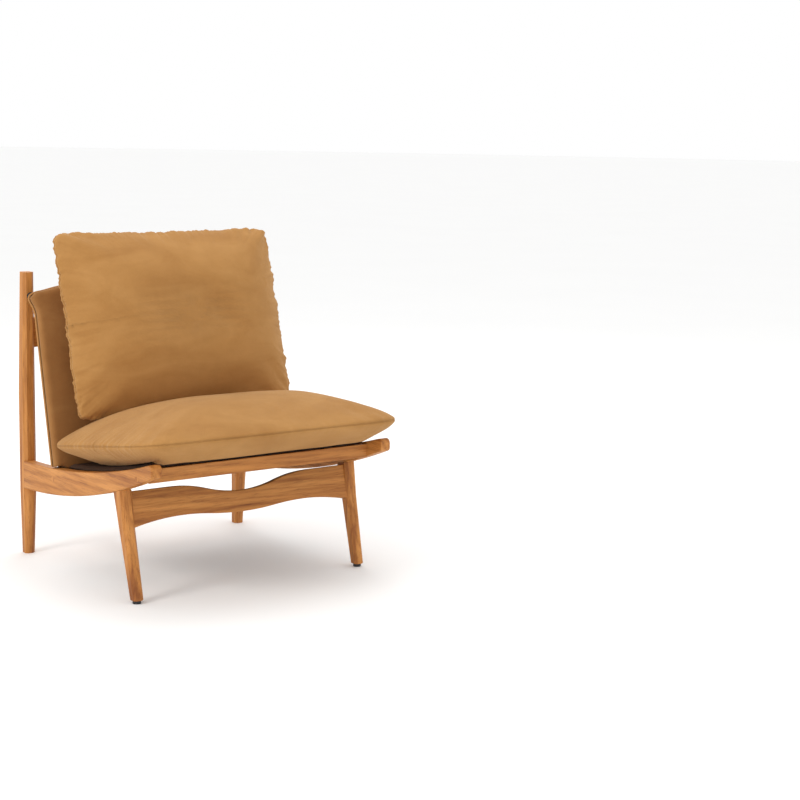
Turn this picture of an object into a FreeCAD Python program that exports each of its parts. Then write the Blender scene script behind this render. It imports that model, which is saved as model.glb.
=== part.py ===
"""Low armless lounge chair: a wooden frame, an upholstered back panel and two loose cushions.

Millimetres. +X is the sitter's left, -Y is the front of the chair and +Z is up.
The origin is on the floor, under the centre of the chair's outer box.
Every driving dimension is a cell of the Dimensions sheet, and every sketch and primitive
is bound to those cells through the Size class below.
"""
import FreeCAD, Part
import math
import os
import Sketcher

Vector = FreeCAD.Vector

DIMENSIONS = {
    # rear posts: eight-sided, thickest where the seat joins them
    "post_height": 700,
    "post_foot_x": 303.5, "post_seat_x": 304.5, "post_top_x": 306.5,
    "post_foot_y": 338.5, "post_seat_y": 332.5, "post_top_y": 319.5,
    "post_foot_width": 25, "post_seat_width": 33, "post_top_width": 27,
    "post_foot_depth": 27, "post_seat_depth": 37, "post_top_depth": 30,
    "post_foot_chamfer": 6, "post_seat_chamfer": 8, "post_top_chamfer": 6.5,
    "post_taper_low": 160, "post_taper_high": 400,
    # side rails: two shallow arcs that rise to a rounded nose
    "rail_inner_x": 294, "rail_thickness": 27,
    "seat_curve_radius": 2360, "seat_curve_y": 356, "seat_curve_z": 235.6,
    "rail_under_radius": 1936, "rail_under_y": 395.7, "rail_under_z": 165.5,
    "rail_heel_y": 321, "rail_nose_y": -321.5,
    "rail_nose_top": 12, "rail_nose_bottom": 9, "edge_round": 3,
    # front legs: eight-sided, raked forward
    "leg_foot_z": 8, "leg_middle_z": 165, "leg_top_z": 270,
    "leg_foot_x": 302.5, "leg_middle_x": 304.5, "leg_top_x": 306,
    "leg_foot_y": -218.5, "leg_middle_y": -178.5, "leg_top_y": -155,
    "leg_foot_width": 25, "leg_middle_width": 30, "leg_top_width": 30,
    "leg_foot_depth": 26, "leg_middle_depth": 32, "leg_top_depth": 46,
    "leg_foot_chamfer": 5.5, "leg_chamfer": 6.5,
    # front stretcher: a wavy board between the front legs
    "stretcher_thickness": 22, "stretcher_y": -170.5, "stretcher_z": 200, "stretcher_rake": 13.5,
    "stretcher_end_x": 297, "stretcher_shoulder_x": 190, "stretcher_hump_x": 165,
    "stretcher_end_top": 44.7, "stretcher_waist_top": 16,
    "stretcher_end_bottom": -39.6, "stretcher_hump_bottom": -24.2, "stretcher_waist_bottom": -34.5,
    # straight rails between the side rails
    "front_rail_y": -264.5, "front_rail_thickness": 22,
    "front_rail_bottom": 279.5, "front_rail_top": 312, "front_rail_back_top": 307.8,
    "rear_rail_y": 150, "rear_rail_thickness": 26, "rear_rail_bottom": 184.5, "rear_rail_top": 237.5,
    # top back rail
    "top_rail_y": 319, "top_rail_thickness": 20, "top_rail_end_x": 298,
    "top_rail_shoulder_x": 210, "top_rail_end_top": 588, "top_rail_waist_top": 578,
    "top_rail_end_bottom": 514, "top_rail_waist_bottom": 527.5,
    # fastenings
    "plug_diameter": 14, "plug_depth": 7, "bolt_diameter": 6, "bolt_head_diameter": 12,
    "bolt_head_height": 5, "bolt_reach": 42, "nut_diameter": 10, "nut_inset": 30,
    "dowel_diameter": 8, "rail_dowel_diameter": 10, "frame_outer_x": 321,
    "leg_dowel_length": 42, "leg_dowel_below": 20, "post_dowel_length": 54, "post_dowel_y": 284,
    "stretcher_dowel_length": 36, "stretcher_dowel_x": 272, "align_dowel_diameter": 6,
    "align_dowel_length": 30, "align_dowel_in_rail": 16, "top_rail_face_x": 291,
    "nut_length": 18, "top_nut_length": 17, "post_face_relief": 0.7,
    "bolt_front_y": -253.5, "bolt_front_z": 290.5, "bolt_rear_y": 160, "bolt_rear_z": 218.5,
    "bolt_top_y": 327.5, "bolt_top_z": 570, "align_drop": 14,
    # back panel, measured in its own leaning plane
    "panel_foot_y": 168.5, "panel_foot_z": 237.5, "panel_lean": 12.5,
    "panel_half_width": 319, "panel_height": 449, "panel_crown_x": 150, "panel_crown_radius": 593,
    "panel_corner_radius": 22, "board_inset": 5, "board_thickness": 9,
    "front_pad_inset": 1.5, "front_pad_thickness": 18, "front_pad_round": 8,
    "rear_pad_inset": 2, "rear_pad_bevel": 26, "rear_pad_thickness": 8.5, "rear_corner_radius": 8,
    "welt_thickness": 5, "panel_notch_x": 292.5, "panel_notch_z": 245.5,
    "spacer_diameter": 19, "panel_bolt_x": 303, "panel_bolt_z": 642, "panel_plug_diameter": 12,
    "insert_diameter": 7.6, "insert_length": 26, "insert_back_y": 275,
    "panel_plug_y": 336.6, "panel_plug_depth": 6, "panel_bolt_front_y": 262,
    "spacer_back_y": 308, "spacer_length": 46,
    "panel_screw_diameter": 3, "panel_screw_length": 46, "panel_screw_head": 7,
    "panel_screw_head_height": 3, "panel_screw_depth": 33, "panel_screw_back": 0.6,
    # seat platform
    "deck_half_width": 290, "deck_front_y": -262, "deck_back_y": 145,
    "deck_above": 9, "deck_below": 4, "cleat_width": 18, "cleat_front_y": -240, "cleat_back_y": 144,
    "cleat_top": 6.6, "cleat_bottom": 23, "strap_width": 46, "strap_thickness": 2, "strap_pitch": 53,
    "strap_first_y": -207, "strap_half_length": 288,
    "cleat_screw_diameter": 3.5, "cleat_screw_length": 32, "cleat_screw_head": 7,
    "cleat_screw_head_height": 3, "cleat_screw_below": 15,
    # glides under the front legs
    "glide_diameter": 19, "glide_stem_diameter": 5, "glide_stem_length": 18,
    # seat cushion
    "cushion_gap": 0.6, "seat_half_width": 335, "seat_front_y": -352, "seat_back_y": 140,
    "seat_nose_z": 380, "seat_crown_y": -200, "seat_crown_z": 441, "seat_back_z": 300,
    "seat_nose_under_y": -290, "seat_seam_y": -91.5, "seat_seam_z": 331.5, "seat_tilt": 10.65,
    "seat_core_half_width": 265, "seat_core_length": 350, "seat_core_thickness": 56,
    "seat_core_lift": 9, "seat_core_lean": 102.5, "seat_core_corner": 40, "seat_core_edge": 10,
    "seat_nose_radius": 75, "seat_under_inset": 60, "seat_under_drop": 48, "seat_skirt_drop": 120,
    "seat_side_under_radius": 70, "seat_side_over_radius": 90, "seat_top_inset": 75,
    "seat_top_rise": 63, "seat_top_radius": 714, "seat_front_corner": 110, "seat_rear_corner": 60,
    # back cushion, measured in its own leaning plane
    "back_half_width": 297, "back_length": 450, "back_thickness": 150, "back_lean": 16.5,
    "back_foot_y": 70, "back_foot_z": 369, "back_corner_radius": 45, "back_edge_round": 55,
    "back_core_half_width": 240, "back_core_length": 350, "back_core_thickness": 90,
    "back_core_corner": 30, "back_core_edge": 12,
}

STRAP_COUNT = 7
CLEAT_SCREW_YS = (-200, -80, 40, 125)
PANEL_SCREW_XS = (-210, -70, 70, 210)
LEG_DOWEL_YS = (-176.5, -154.5)
POST_DOWEL_ZS = (188, 216)
STRETCHER_DOWEL_UPS = (-20, 24)
CLEARANCE = 0.01
SIDES = (("left", 1), ("right", -1))


class Size:
    """A number together with the sheet expression that it comes from."""

    def __init__(self, number, text=None):
        self.number = float(number)
        self.text = text if text is not None else f"({float(number):.10g})"

    def combine(self, other, sign, number):
        return Size(number, f"({self.text} {sign} {other.text})")

    def __add__(self, other):
        other = as_size(other)
        return self.combine(other, "+", self.number + other.number)

    def __sub__(self, other):
        other = as_size(other)
        return self.combine(other, "-", self.number - other.number)

    def __mul__(self, other):
        other = as_size(other)
        return self.combine(other, "*", self.number * other.number)

    def __truediv__(self, other):
        other = as_size(other)
        return self.combine(other, "/", self.number / other.number)

    def __neg__(self):
        return Size(-self.number, f"(0 - {self.text})")

    def root(self):
        return Size(math.sqrt(self.number), f"sqrt({self.text})")


def as_size(value):
    return value if isinstance(value, Size) else Size(value)


def dim(name):
    """The driving dimension of that name."""
    return Size(DIMENSIONS[name], f"Dimensions.{name}")


# ---------------------------------------------------------------- document and sheet

doc = FreeCAD.newDocument("LoungeChair")
sheet = doc.addObject("Spreadsheet::Sheet", "Dimensions")
for row, (name, value) in enumerate(DIMENSIONS.items(), start=1):
    sheet.set(f"A{row}", name)
    sheet.set(f"B{row}", str(value))
    sheet.setAlias(f"B{row}", name)
doc.recompute()

nodes = {}


def keep(label, shape_object):
    """Name the finished object of one physical piece."""
    shape_object.Label = label
    nodes[label] = shape_object
    return shape_object


# ---------------------------------------------------------------- drawing helpers

def new_body(label):
    return doc.addObject("PartDesign::Body", label)


def plane_of(body, role):
    return next(item for item in body.Origin.OriginFeatures if item.Role == role)


def new_sketch(body, role, offset=(0, 0, 0), tilt=0.0):
    """A sketch on one of the body's own planes, moved by offset and tilted about its first axis."""
    sketch = body.newObject("Sketcher::SketchObject", body.Name + "Sketch")
    sketch.AttachmentSupport = [(plane_of(body, role), "")]
    sketch.MapMode = "FlatFace"
    turn = FreeCAD.Rotation(Vector(1, 0, 0), tilt)
    sketch.AttachmentOffset = FreeCAD.Placement(Vector(0, 0, 0), turn)
    for axis, size in zip("xyz", offset):
        sketch.setExpression(f"AttachmentOffset.Base.{axis}", as_size(size).text)
    return sketch


def bind(sketch, kind, *arguments):
    """Add one constraint whose last argument is a Size, bound to the sheet."""
    size = as_size(arguments[-1])
    index = sketch.addConstraint(Sketcher.Constraint(kind, *arguments[:-1], size.number))
    sketch.setExpression(f"Constraints[{index}]", size.text)


def arc_between(start, end, radius, bulge):
    """A circular edge from start to end. A bulge of 1 turns anticlockwise, -1 clockwise."""
    chord = end - start
    to_centre = math.sqrt(radius ** 2 - (chord.Length / 2) ** 2) * bulge
    across = Vector(-chord.y, chord.x, 0).normalize()
    centre = (start + end) * 0.5 + across * to_centre
    first, last = (start, end) if bulge > 0 else (end, start)
    angles = [math.atan2(point.y - centre.y, point.x - centre.x) for point in (first, last)]
    circle = Part.Circle(centre, Vector(0, 0, 1), radius)
    return Part.ArcOfCircle(circle, angles[0], angles[1])


def outline(sketch, corners, arcs=None):
    """Draw a closed outline. arcs gives (radius, bulge) for the edges that aren't straight."""
    arcs = arcs or {}
    count = len(corners)
    points = [Vector(as_size(x).number, as_size(y).number, 0) for x, y in corners]
    first_ends = []
    last_ends = []
    for edge in range(count):
        start = points[edge]
        end = points[(edge + 1) % count]
        if edge in arcs:
            radius, bulge = arcs[edge]
            sketch.addGeometry(arc_between(start, end, as_size(radius).number, bulge))
        else:
            bulge = 1
            sketch.addGeometry(Part.LineSegment(start, end))
        first_ends.append(1 if bulge > 0 else 2)
        last_ends.append(2 if bulge > 0 else 1)
    for edge in range(count):
        following = (edge + 1) % count
        ends = (edge, last_ends[edge], following, first_ends[following])
        sketch.addConstraint(Sketcher.Constraint("Coincident", *ends))
    for edge, (x, y) in enumerate(corners):
        bind(sketch, "DistanceX", -1, 1, edge, first_ends[edge], as_size(x))
        bind(sketch, "DistanceY", -1, 1, edge, first_ends[edge], as_size(y))
    for edge, (radius, bulge) in arcs.items():
        bind(sketch, "Radius", edge, as_size(radius))
    return sketch


def octagon(sketch, width, depth, chamfer):
    """A rectangle about the sketch's origin with its four corners cut off."""
    x = width / 2
    y = depth / 2
    corners = [(x - chamfer, -y), (x, chamfer - y), (x, y - chamfer), (x - chamfer, y),
               (chamfer - x, y), (-x, y - chamfer), (-x, chamfer - y), (chamfer - x, -y)]
    return outline(sketch, corners)


def pad(body, sketch, length, middle=False, backwards=False):
    feature = body.newObject("PartDesign::Pad", body.Name + "Pad")
    feature.Profile = sketch
    feature.setExpression("Length", as_size(length).text)
    feature.SideType = "Symmetric" if middle else "One side"
    feature.Reversed = backwards
    return feature


def loft(body, sketches):
    feature = body.newObject("PartDesign::AdditiveLoft", body.Name + "Loft")
    feature.Profile = sketches[0]
    feature.Sections = sketches[1:]
    feature.Ruled = True
    return feature


def round_edges(body, feature, radius, wanted):
    """Round every edge of a feature for which wanted(edge) is true."""
    doc.recompute()
    names = [f"Edge{number}" for number, edge in enumerate(feature.Shape.Edges, start=1)
             if wanted(edge)]
    fillet = body.newObject("PartDesign::Fillet", body.Name + "Fillet")
    fillet.Base = (feature, names)
    fillet.setExpression("Radius", as_size(radius).text)
    return fillet


def runs_along(edge, axis):
    """True for an edge whose box is longest along that axis (0, 1 or 2)."""
    box = edge.BoundBox
    lengths = (box.XLength, box.YLength, box.ZLength)
    return max(lengths) == lengths[axis]


def place(item, base, rotation=None):
    """Put a primitive at a position given as Sizes."""
    item.Placement = FreeCAD.Placement(Vector(0, 0, 0), rotation or FreeCAD.Rotation())
    for axis, size in zip("xyz", base):
        item.setExpression(f"Placement.Base.{axis}", as_size(size).text)


ALONG = {"x": FreeCAD.Rotation(Vector(0, 1, 0), 90),
         "-x": FreeCAD.Rotation(Vector(0, 1, 0), -90),
         "y": FreeCAD.Rotation(Vector(1, 0, 0), -90),
         "-y": FreeCAD.Rotation(Vector(1, 0, 0), 90),
         "z": FreeCAD.Rotation()}


def cylinder(name, base, direction, diameter, length):
    """A cylinder from base along a direction: a key of ALONG or a Rotation."""
    item = doc.addObject("Part::Cylinder", name)
    item.setExpression("Radius", (as_size(diameter) / 2).text)
    item.setExpression("Height", as_size(length).text)
    place(item, base, ALONG.get(direction) if isinstance(direction, str) else direction)
    return item


def box(name, low, high):
    """A box from its lowest to its highest corner."""
    item = doc.addObject("Part::Box", name)
    sizes = [as_size(top) - as_size(bottom) for bottom, top in zip(low, high)]
    for word, size in zip(("Length", "Width", "Height"), sizes):
        item.setExpression(word, size.text)
    place(item, low)
    return item


def fuse(name, items):
    item = doc.addObject("Part::MultiFuse", name)
    item.Shapes = items
    return item


def common(name, items):
    item = doc.addObject("Part::MultiCommon", name)
    item.Shapes = items
    return item


def group(name, items):
    """Separate solids that share one node."""
    item = doc.addObject("Part::Compound", name)
    item.Links = items
    return item


def cut(base, tools, name):
    """Take each tool away from base in turn."""
    for number, tool in enumerate(tools, start=1):
        item = doc.addObject("Part::Cut", f"{name}_cut{number}")
        item.Base = base
        item.Tool = tool
        base = item
    return base


# ---------------------------------------------------------------- shared curves

def seat_line(y, above=0):
    """Height at y of the curve parallel to the side rails' top edge."""
    radius = dim("seat_curve_radius")
    across = as_size(y) - dim("seat_curve_y")
    inner = radius - as_size(above)
    return dim("seat_curve_z") + radius - (inner * inner - across * across).root()


def under_line(y):
    """Height at y of the side rails' lower edge."""
    radius = dim("rail_under_radius")
    across = as_size(y) - dim("rail_under_y")
    return dim("rail_under_z") + radius - (radius * radius - across * across).root()


def nose_corner(centre, radius, corner):
    """Where a corner arc meets the nose's flat end and a long curve. Corner is signed:
    positive outside the long curve's circle, negative inside it."""
    size = corner if corner.number > 0 else -corner
    middle_y = dim("rail_nose_y") + size
    reach = radius + corner
    across = middle_y - centre[0]
    middle_z = centre[1] - (reach * reach - across * across).root()
    touch_y = centre[0] + across * radius / reach
    touch_z = centre[1] + (middle_z - centre[1]) * radius / reach
    return middle_z, (touch_y, touch_z)


def rail_profile(body, first_x):
    """The side rail's outline in the YZ plane, at first_x."""
    sketch = new_sketch(body, "YZ_Plane", (0, 0, first_x))
    heel = dim("rail_heel_y")
    nose = dim("rail_nose_y")
    top_radius = dim("seat_curve_radius")
    top_centre = (dim("seat_curve_y"), dim("seat_curve_z") + top_radius)
    under_radius = dim("rail_under_radius")
    under_centre = (dim("rail_under_y"), dim("rail_under_z") + under_radius)
    top_z, top_touch = nose_corner(top_centre, top_radius, dim("rail_nose_top"))
    under_z, under_touch = nose_corner(under_centre, under_radius, -dim("rail_nose_bottom"))
    corners = [(heel, under_line(heel)), (heel, seat_line(heel)), top_touch, (nose, top_z),
               (nose, under_z), under_touch]
    arcs = {1: (top_radius, -1),
            2: (dim("rail_nose_top"), 1),
            4: (dim("rail_nose_bottom"), 1),
            5: (under_radius, 1)}
    return outline(sketch, corners, arcs)


# ---------------------------------------------------------------- wooden blanks

def post_blank(side, sign):
    body = new_body(f"post_blank_{side}")
    sections = []
    for place_name, height in (("foot", Size(0)), ("seat", dim("post_taper_low")),
                               ("seat", dim("post_taper_high")), ("top", dim("post_height"))):
        x = dim(f"post_{place_name}_x") * sign
        sketch = new_sketch(body, "XY_Plane", (x, dim(f"post_{place_name}_y"), height))
        octagon(sketch, dim(f"post_{place_name}_width"), dim(f"post_{place_name}_depth"),
                dim(f"post_{place_name}_chamfer"))
        sections.append(sketch)
    loft(body, sections)
    return body


def rail_blank(side, sign):
    body = new_body(f"rail_blank_{side}")
    low_x = dim("rail_inner_x") if sign > 0 else -dim("frame_outer_x")
    solid = pad(body, rail_profile(body, low_x), dim("rail_thickness"))
    heel = DIMENSIONS["rail_heel_y"]
    round_edges(body, solid, dim("edge_round"),
                lambda edge: not runs_along(edge, 0) and edge.BoundBox.YMin < heel - 1)
    return body


def leg_blank(side, sign):
    body = new_body(f"leg_blank_{side}")
    sections = []
    for place_name, chamfer in (("foot", "leg_foot_chamfer"), ("middle", "leg_chamfer"),
                                ("top", "leg_chamfer")):
        offset = (dim(f"leg_{place_name}_x") * sign, dim(f"leg_{place_name}_y"),
                  dim(f"leg_{place_name}_z"))
        sketch = new_sketch(body, "XY_Plane", offset)
        octagon(sketch, dim(f"leg_{place_name}_width"), dim(f"leg_{place_name}_depth"),
                dim(chamfer))
        sections.append(sketch)
    loft(body, sections)
    return body


def wave(half_span, rise):
    """Radius of each of the two equal arcs that join two level lines smoothly."""
    return (half_span * half_span + rise * rise) / (rise * 4)


def stretcher_blank():
    """The wavy board between the front legs, leaning with them."""
    body = new_body("stretcher_blank")
    sketch = new_sketch(body, "XZ_Plane", (0, dim("stretcher_z"), -dim("stretcher_y")),
                        -DIMENSIONS["stretcher_rake"])
    end = dim("stretcher_end_x")
    shoulder = dim("stretcher_shoulder_x")
    hump = dim("stretcher_hump_x")
    high = dim("stretcher_end_top")
    waist = dim("stretcher_waist_top")
    low = dim("stretcher_end_bottom")
    arch = dim("stretcher_hump_bottom")
    belly = dim("stretcher_waist_bottom")
    half_high = (high + waist) / 2
    half_low = (arch + belly) / 2
    top_radius = wave(shoulder, high - waist)
    low_radius = wave(hump, arch - belly)
    reach = end - hump
    hump_radius = (reach * reach + (arch - low) * (arch - low)) / ((arch - low) * 2)
    corners = [(-end, low), (-hump, arch), (-hump / 2, half_low), (hump / 2, half_low),
               (hump, arch), (end, low), (end, high), (shoulder, high),
               (shoulder / 2, half_high), (-shoulder / 2, half_high), (-shoulder, high),
               (-end, high)]
    arcs = {0: (hump_radius, -1), 1: (low_radius, -1), 2: (low_radius, 1), 3: (low_radius, -1),
            4: (hump_radius, -1), 7: (top_radius, 1), 8: (top_radius, -1), 9: (top_radius, 1)}
    outline(sketch, corners, arcs)
    solid = pad(body, sketch, dim("stretcher_thickness"), middle=True)
    half = DIMENSIONS["stretcher_end_x"]
    round_edges(body, solid, dim("edge_round"),
                lambda edge: edge.BoundBox.XMin > -half and edge.BoundBox.XMax < half
                or edge.BoundBox.XLength > 10)
    return body


def top_rail_blank():
    """The board across the back, waisted in the middle."""
    body = new_body("top_rail_blank")
    middle_y = dim("top_rail_y") + dim("top_rail_thickness") / 2
    sketch = new_sketch(body, "XZ_Plane", (0, 0, -middle_y))
    end = dim("top_rail_end_x")
    shoulder = dim("top_rail_shoulder_x")
    high = dim("top_rail_end_top")
    waist = dim("top_rail_waist_top")
    low = dim("top_rail_end_bottom")
    arch = dim("top_rail_waist_bottom")
    half_high = (high + waist) / 2
    rise = arch - low
    arch_radius = (end * end + rise * rise) / (rise * 2)
    top_radius = wave(shoulder, high - waist)
    corners = [(-end, low), (end, low), (end, high), (shoulder, high), (shoulder / 2, half_high),
               (-shoulder / 2, half_high), (-shoulder, high), (-end, high)]
    arcs = {0: (arch_radius, -1), 3: (top_radius, 1), 4: (top_radius, -1), 5: (top_radius, 1)}
    outline(sketch, corners, arcs)
    solid = pad(body, sketch, dim("top_rail_thickness"), middle=True)
    round_edges(body, solid, dim("edge_round"), lambda edge: edge.BoundBox.XLength > 10)
    return body


def cross_rail_blank(name, corners):
    """A straight rail between the side rails, from its outline in the YZ plane."""
    body = new_body(name)
    sketch = new_sketch(body, "YZ_Plane")
    outline(sketch, corners)
    solid = pad(body, sketch, dim("rail_inner_x") * 2, middle=True)
    round_edges(body, solid, dim("edge_round") / 2, lambda edge: runs_along(edge, 0))
    return body


posts = {side: post_blank(side, sign) for side, sign in SIDES}
rails = {side: rail_blank(side, sign) for side, sign in SIDES}
legs = {side: leg_blank(side, sign) for side, sign in SIDES}
stretcher = stretcher_blank()
top_rail = top_rail_blank()

front_back_y = dim("front_rail_y") + dim("front_rail_thickness")
front_rail = cross_rail_blank("front_rail_blank", [
    (dim("front_rail_y"), dim("front_rail_bottom")), (front_back_y, dim("front_rail_bottom")),
    (front_back_y, dim("front_rail_back_top")), (dim("front_rail_y"), dim("front_rail_top"))])
rear_back_y = dim("rear_rail_y") + dim("rear_rail_thickness")
rear_rail = cross_rail_blank("rear_rail_blank", [
    (dim("rear_rail_y"), dim("rear_rail_bottom")), (rear_back_y, dim("rear_rail_bottom")),
    (rear_back_y, dim("rear_rail_top")), (dim("rear_rail_y"), dim("rear_rail_top"))])

# the space under the side rails' lower edge, across the whole chair, shapes the legs' tops
rail_envelope = new_body("rail_envelope")
pad(rail_envelope, rail_profile(rail_envelope, 0), dim("frame_outer_x") * 2.2, middle=True)


# ---------------------------------------------------------------- dowels

def leg_dowels():
    """Two dowels hold each front leg under its side rail, along the leg's rake."""
    run = DIMENSIONS["leg_top_y"] - DIMENSIONS["leg_middle_y"]
    rise = DIMENSIONS["leg_top_z"] - DIMENSIONS["leg_middle_z"]
    lean = FreeCAD.Rotation(Vector(1, 0, 0), -math.degrees(math.atan2(run, rise)))
    centre_x = dim("rail_inner_x") + dim("rail_thickness") / 2
    items = []
    for side, sign in SIDES:
        for number, y in enumerate(LEG_DOWEL_YS):
            base = (centre_x * sign, Size(y), under_line(y) - dim("leg_dowel_below"))
            items.append(cylinder(f"leg_dowel_{side}{number}", base, lean,
                                  dim("dowel_diameter"), dim("leg_dowel_length")))
    return group("leg_dowel_group", items)


def post_dowels():
    """Two dowels hold each side rail to its rear post."""
    centre_x = dim("rail_inner_x") + dim("rail_thickness") / 2
    items = []
    for side, sign in SIDES:
        for number, height in enumerate(POST_DOWEL_ZS):
            base = (centre_x * sign, dim("post_dowel_y"), Size(height))
            items.append(cylinder(f"post_dowel_{side}{number}", base, "y",
                                  dim("rail_dowel_diameter"), dim("post_dowel_length")))
    return group("post_dowel_group", items)


def stretcher_dowels():
    """Two dowels in each end of the stretcher."""
    slope = math.tan(math.radians(DIMENSIONS["stretcher_rake"]))
    items = []
    for side, sign in SIDES:
        outwards = "x" if sign > 0 else "-x"
        for number, up in enumerate(STRETCHER_DOWEL_UPS):
            y = dim("stretcher_y") + up * slope
            base = (dim("stretcher_dowel_x") * sign, y, dim("stretcher_z") + up)
            items.append(cylinder(f"stretcher_dowel_{side}{number}", base, outwards,
                                  dim("dowel_diameter"), dim("stretcher_dowel_length")))
    return group("stretcher_dowel_group", items)


def alignment_dowels():
    """One dowel beside each cross bolt stops its rail from turning."""
    places = ((dim("bolt_front_y"), dim("bolt_front_z") + dim("align_drop") * 0.85,
               dim("rail_inner_x")),
              (dim("bolt_rear_y") + 2, dim("bolt_rear_z") - dim("align_drop") * 1.4,
               dim("rail_inner_x")),
              (dim("bolt_top_y") + 2, dim("bolt_top_z") - dim("align_drop") * 2.6,
               dim("top_rail_face_x")))
    items = []
    for number, (y, z, face_x) in enumerate(places):
        for side, sign in SIDES:
            outwards = "x" if sign > 0 else "-x"
            start = (face_x - dim("align_dowel_in_rail")) * sign
            items.append(cylinder(f"align_dowel_{side}{number}", (start, y, z), outwards,
                                  dim("align_dowel_diameter"), dim("align_dowel_length")))
    return group("alignment_dowel_group", items)


all_dowels = [keep("leg_dowels", leg_dowels()), keep("post_dowels", post_dowels()),
              keep("stretcher_dowels", stretcher_dowels()),
              keep("alignment_dowels", alignment_dowels())]


# ---------------------------------------------------------------- cross bolts, nuts and plugs

def cross_bolt_places():
    """Where the bolts go: height line, outer face, end of the rail that each one pulls in."""
    return (("front", dim("bolt_front_y"), dim("bolt_front_z"), dim("frame_outer_x"),
             dim("rail_inner_x")),
            ("rear", dim("bolt_rear_y"), dim("bolt_rear_z"), dim("frame_outer_x"),
             dim("rail_inner_x")),
            ("top", dim("bolt_top_y"), dim("bolt_top_z"),
             dim("frame_outer_x") - dim("post_face_relief"), dim("top_rail_face_x")))


def nut_span(place_name):
    """The stretch of Y that a cross nut fills, from its rail's hidden face inwards."""
    if place_name == "front":
        face = dim("front_rail_y") + dim("front_rail_thickness")
        return face - dim("nut_length"), dim("nut_length")
    if place_name == "rear":
        return dim("rear_rail_y"), dim("nut_length")
    return dim("top_rail_y"), dim("top_nut_length")


def cross_fastenings():
    bolts, nuts, plugs = [], [], []
    for name, y, z, outer_x, end_x in cross_bolt_places():
        for side, sign in SIDES:
            inwards = "-x" if sign > 0 else "x"
            tag = f"{name}_{side}"
            plugs.append(cylinder(f"plug_{tag}", (outer_x * sign, y, z), inwards,
                                  dim("plug_diameter"), dim("plug_depth")))
            head_x = outer_x - dim("plug_depth")
            head = cylinder(f"head_{tag}", (head_x * sign, y, z), inwards,
                            dim("bolt_head_diameter"), dim("bolt_head_height"))
            shank_length = head_x - end_x + dim("bolt_reach")
            shank = cylinder(f"shank_{tag}", (head_x * sign, y, z), inwards,
                             dim("bolt_diameter"), shank_length)
            bolt = fuse(f"bolt_{tag}", [head, shank])
            bolts.append(bolt)
            first_y, length = nut_span(name)
            nut_x = (end_x - dim("nut_inset")) * sign
            barrel = cylinder(f"barrel_{tag}", (nut_x, first_y, z), "y",
                              dim("nut_diameter"), length)
            nuts.append(cut(barrel, [bolt], f"nut_{tag}"))
    return bolts, nuts, plugs


bolt_items, nut_items, plug_items = cross_fastenings()


def counterbores():
    """The clearance beside each bolt head, as wide as the plug that covers it."""
    items = []
    for name, y, z, outer_x, end_x in cross_bolt_places():
        for side, sign in SIDES:
            inwards = "-x" if sign > 0 else "x"
            depth = dim("plug_depth") + dim("bolt_head_height")
            items.append(cylinder(f"counterbore_{name}_{side}", (outer_x * sign, y, z), inwards,
                                  dim("plug_diameter"), depth + CLEARANCE))
    return group("counterbore_group", items)


cross_counterbores = counterbores()
frame_bolts = keep("frame_bolts", group("frame_bolt_group", bolt_items))
barrel_nuts = keep("barrel_nuts", group("barrel_nut_group", nut_items))
keep("side_plugs", group("side_plug_group", plug_items))
cross_hardware = [frame_bolts, barrel_nuts, cross_counterbores]


# ---------------------------------------------------------------- back panel

LEAN = -DIMENSIONS["panel_lean"]


def panel_sketch(body, depth):
    """A sketch in the panel's leaning plane, moved forwards by depth."""
    lean = math.radians(DIMENSIONS["panel_lean"])
    forward = as_size(depth)
    offset = (0, dim("panel_foot_z") + forward * math.sin(lean),
              -dim("panel_foot_y") + forward * math.cos(lean))
    return new_sketch(body, "XZ_Plane", offset, LEAN)


def panel_outline(sketch, inset, corner_radius):
    """Sides, crowned top and rounded top corners. The foot runs below the seat, to be trimmed."""
    width = dim("panel_half_width") - inset
    crown_x = dim("panel_crown_x")
    crown_radius = dim("panel_crown_radius") - inset
    crown_centre = dim("panel_height") - dim("panel_crown_radius")
    top = dim("panel_height") - inset
    corner_x = width - corner_radius
    reach = crown_radius - corner_radius
    across = corner_x - crown_x
    rise = (reach * reach - across * across).root()
    corner_v = crown_centre + rise
    touch_x = crown_x + across * crown_radius / reach
    touch_v = crown_centre + rise * crown_radius / reach
    foot = Size(-12)
    corners = [(-width, foot), (width, foot), (width, corner_v), (touch_x, touch_v),
               (crown_x, top), (-crown_x, top), (-touch_x, touch_v), (-width, corner_v)]
    arcs = {2: (corner_radius, 1), 3: (crown_radius, 1), 5: (crown_radius, 1),
            6: (corner_radius, 1)}
    return outline(sketch, corners, arcs)


def panel_slab(name, inset, back, thickness):
    """A slab of the panel, from depth back to depth back + thickness towards the front."""
    body = new_body(name)
    sketch = panel_sketch(body, back)
    inset = as_size(inset)
    panel_outline(sketch, inset, dim("panel_corner_radius") - inset)
    return body, pad(body, sketch, thickness)


def panel_trim():
    """The space that the panel's foot leaves to the side rails and the rear seat rail."""
    wide = dim("frame_outer_x") + 20
    low = dim("panel_notch_z") - 60
    deep_front, deep_back = Size(60), Size(260)
    middle = box("trim_middle", (-wide, deep_front, low), (wide, deep_back, dim("rear_rail_top")))
    left = box("trim_left", (dim("panel_notch_x"), deep_front, low),
               (wide, deep_back, dim("panel_notch_z")))
    right = box("trim_right", (-wide, deep_front, low),
                (-dim("panel_notch_x"), deep_back, dim("panel_notch_z")))
    return fuse("panel_trim", [middle, left, right])


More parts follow.
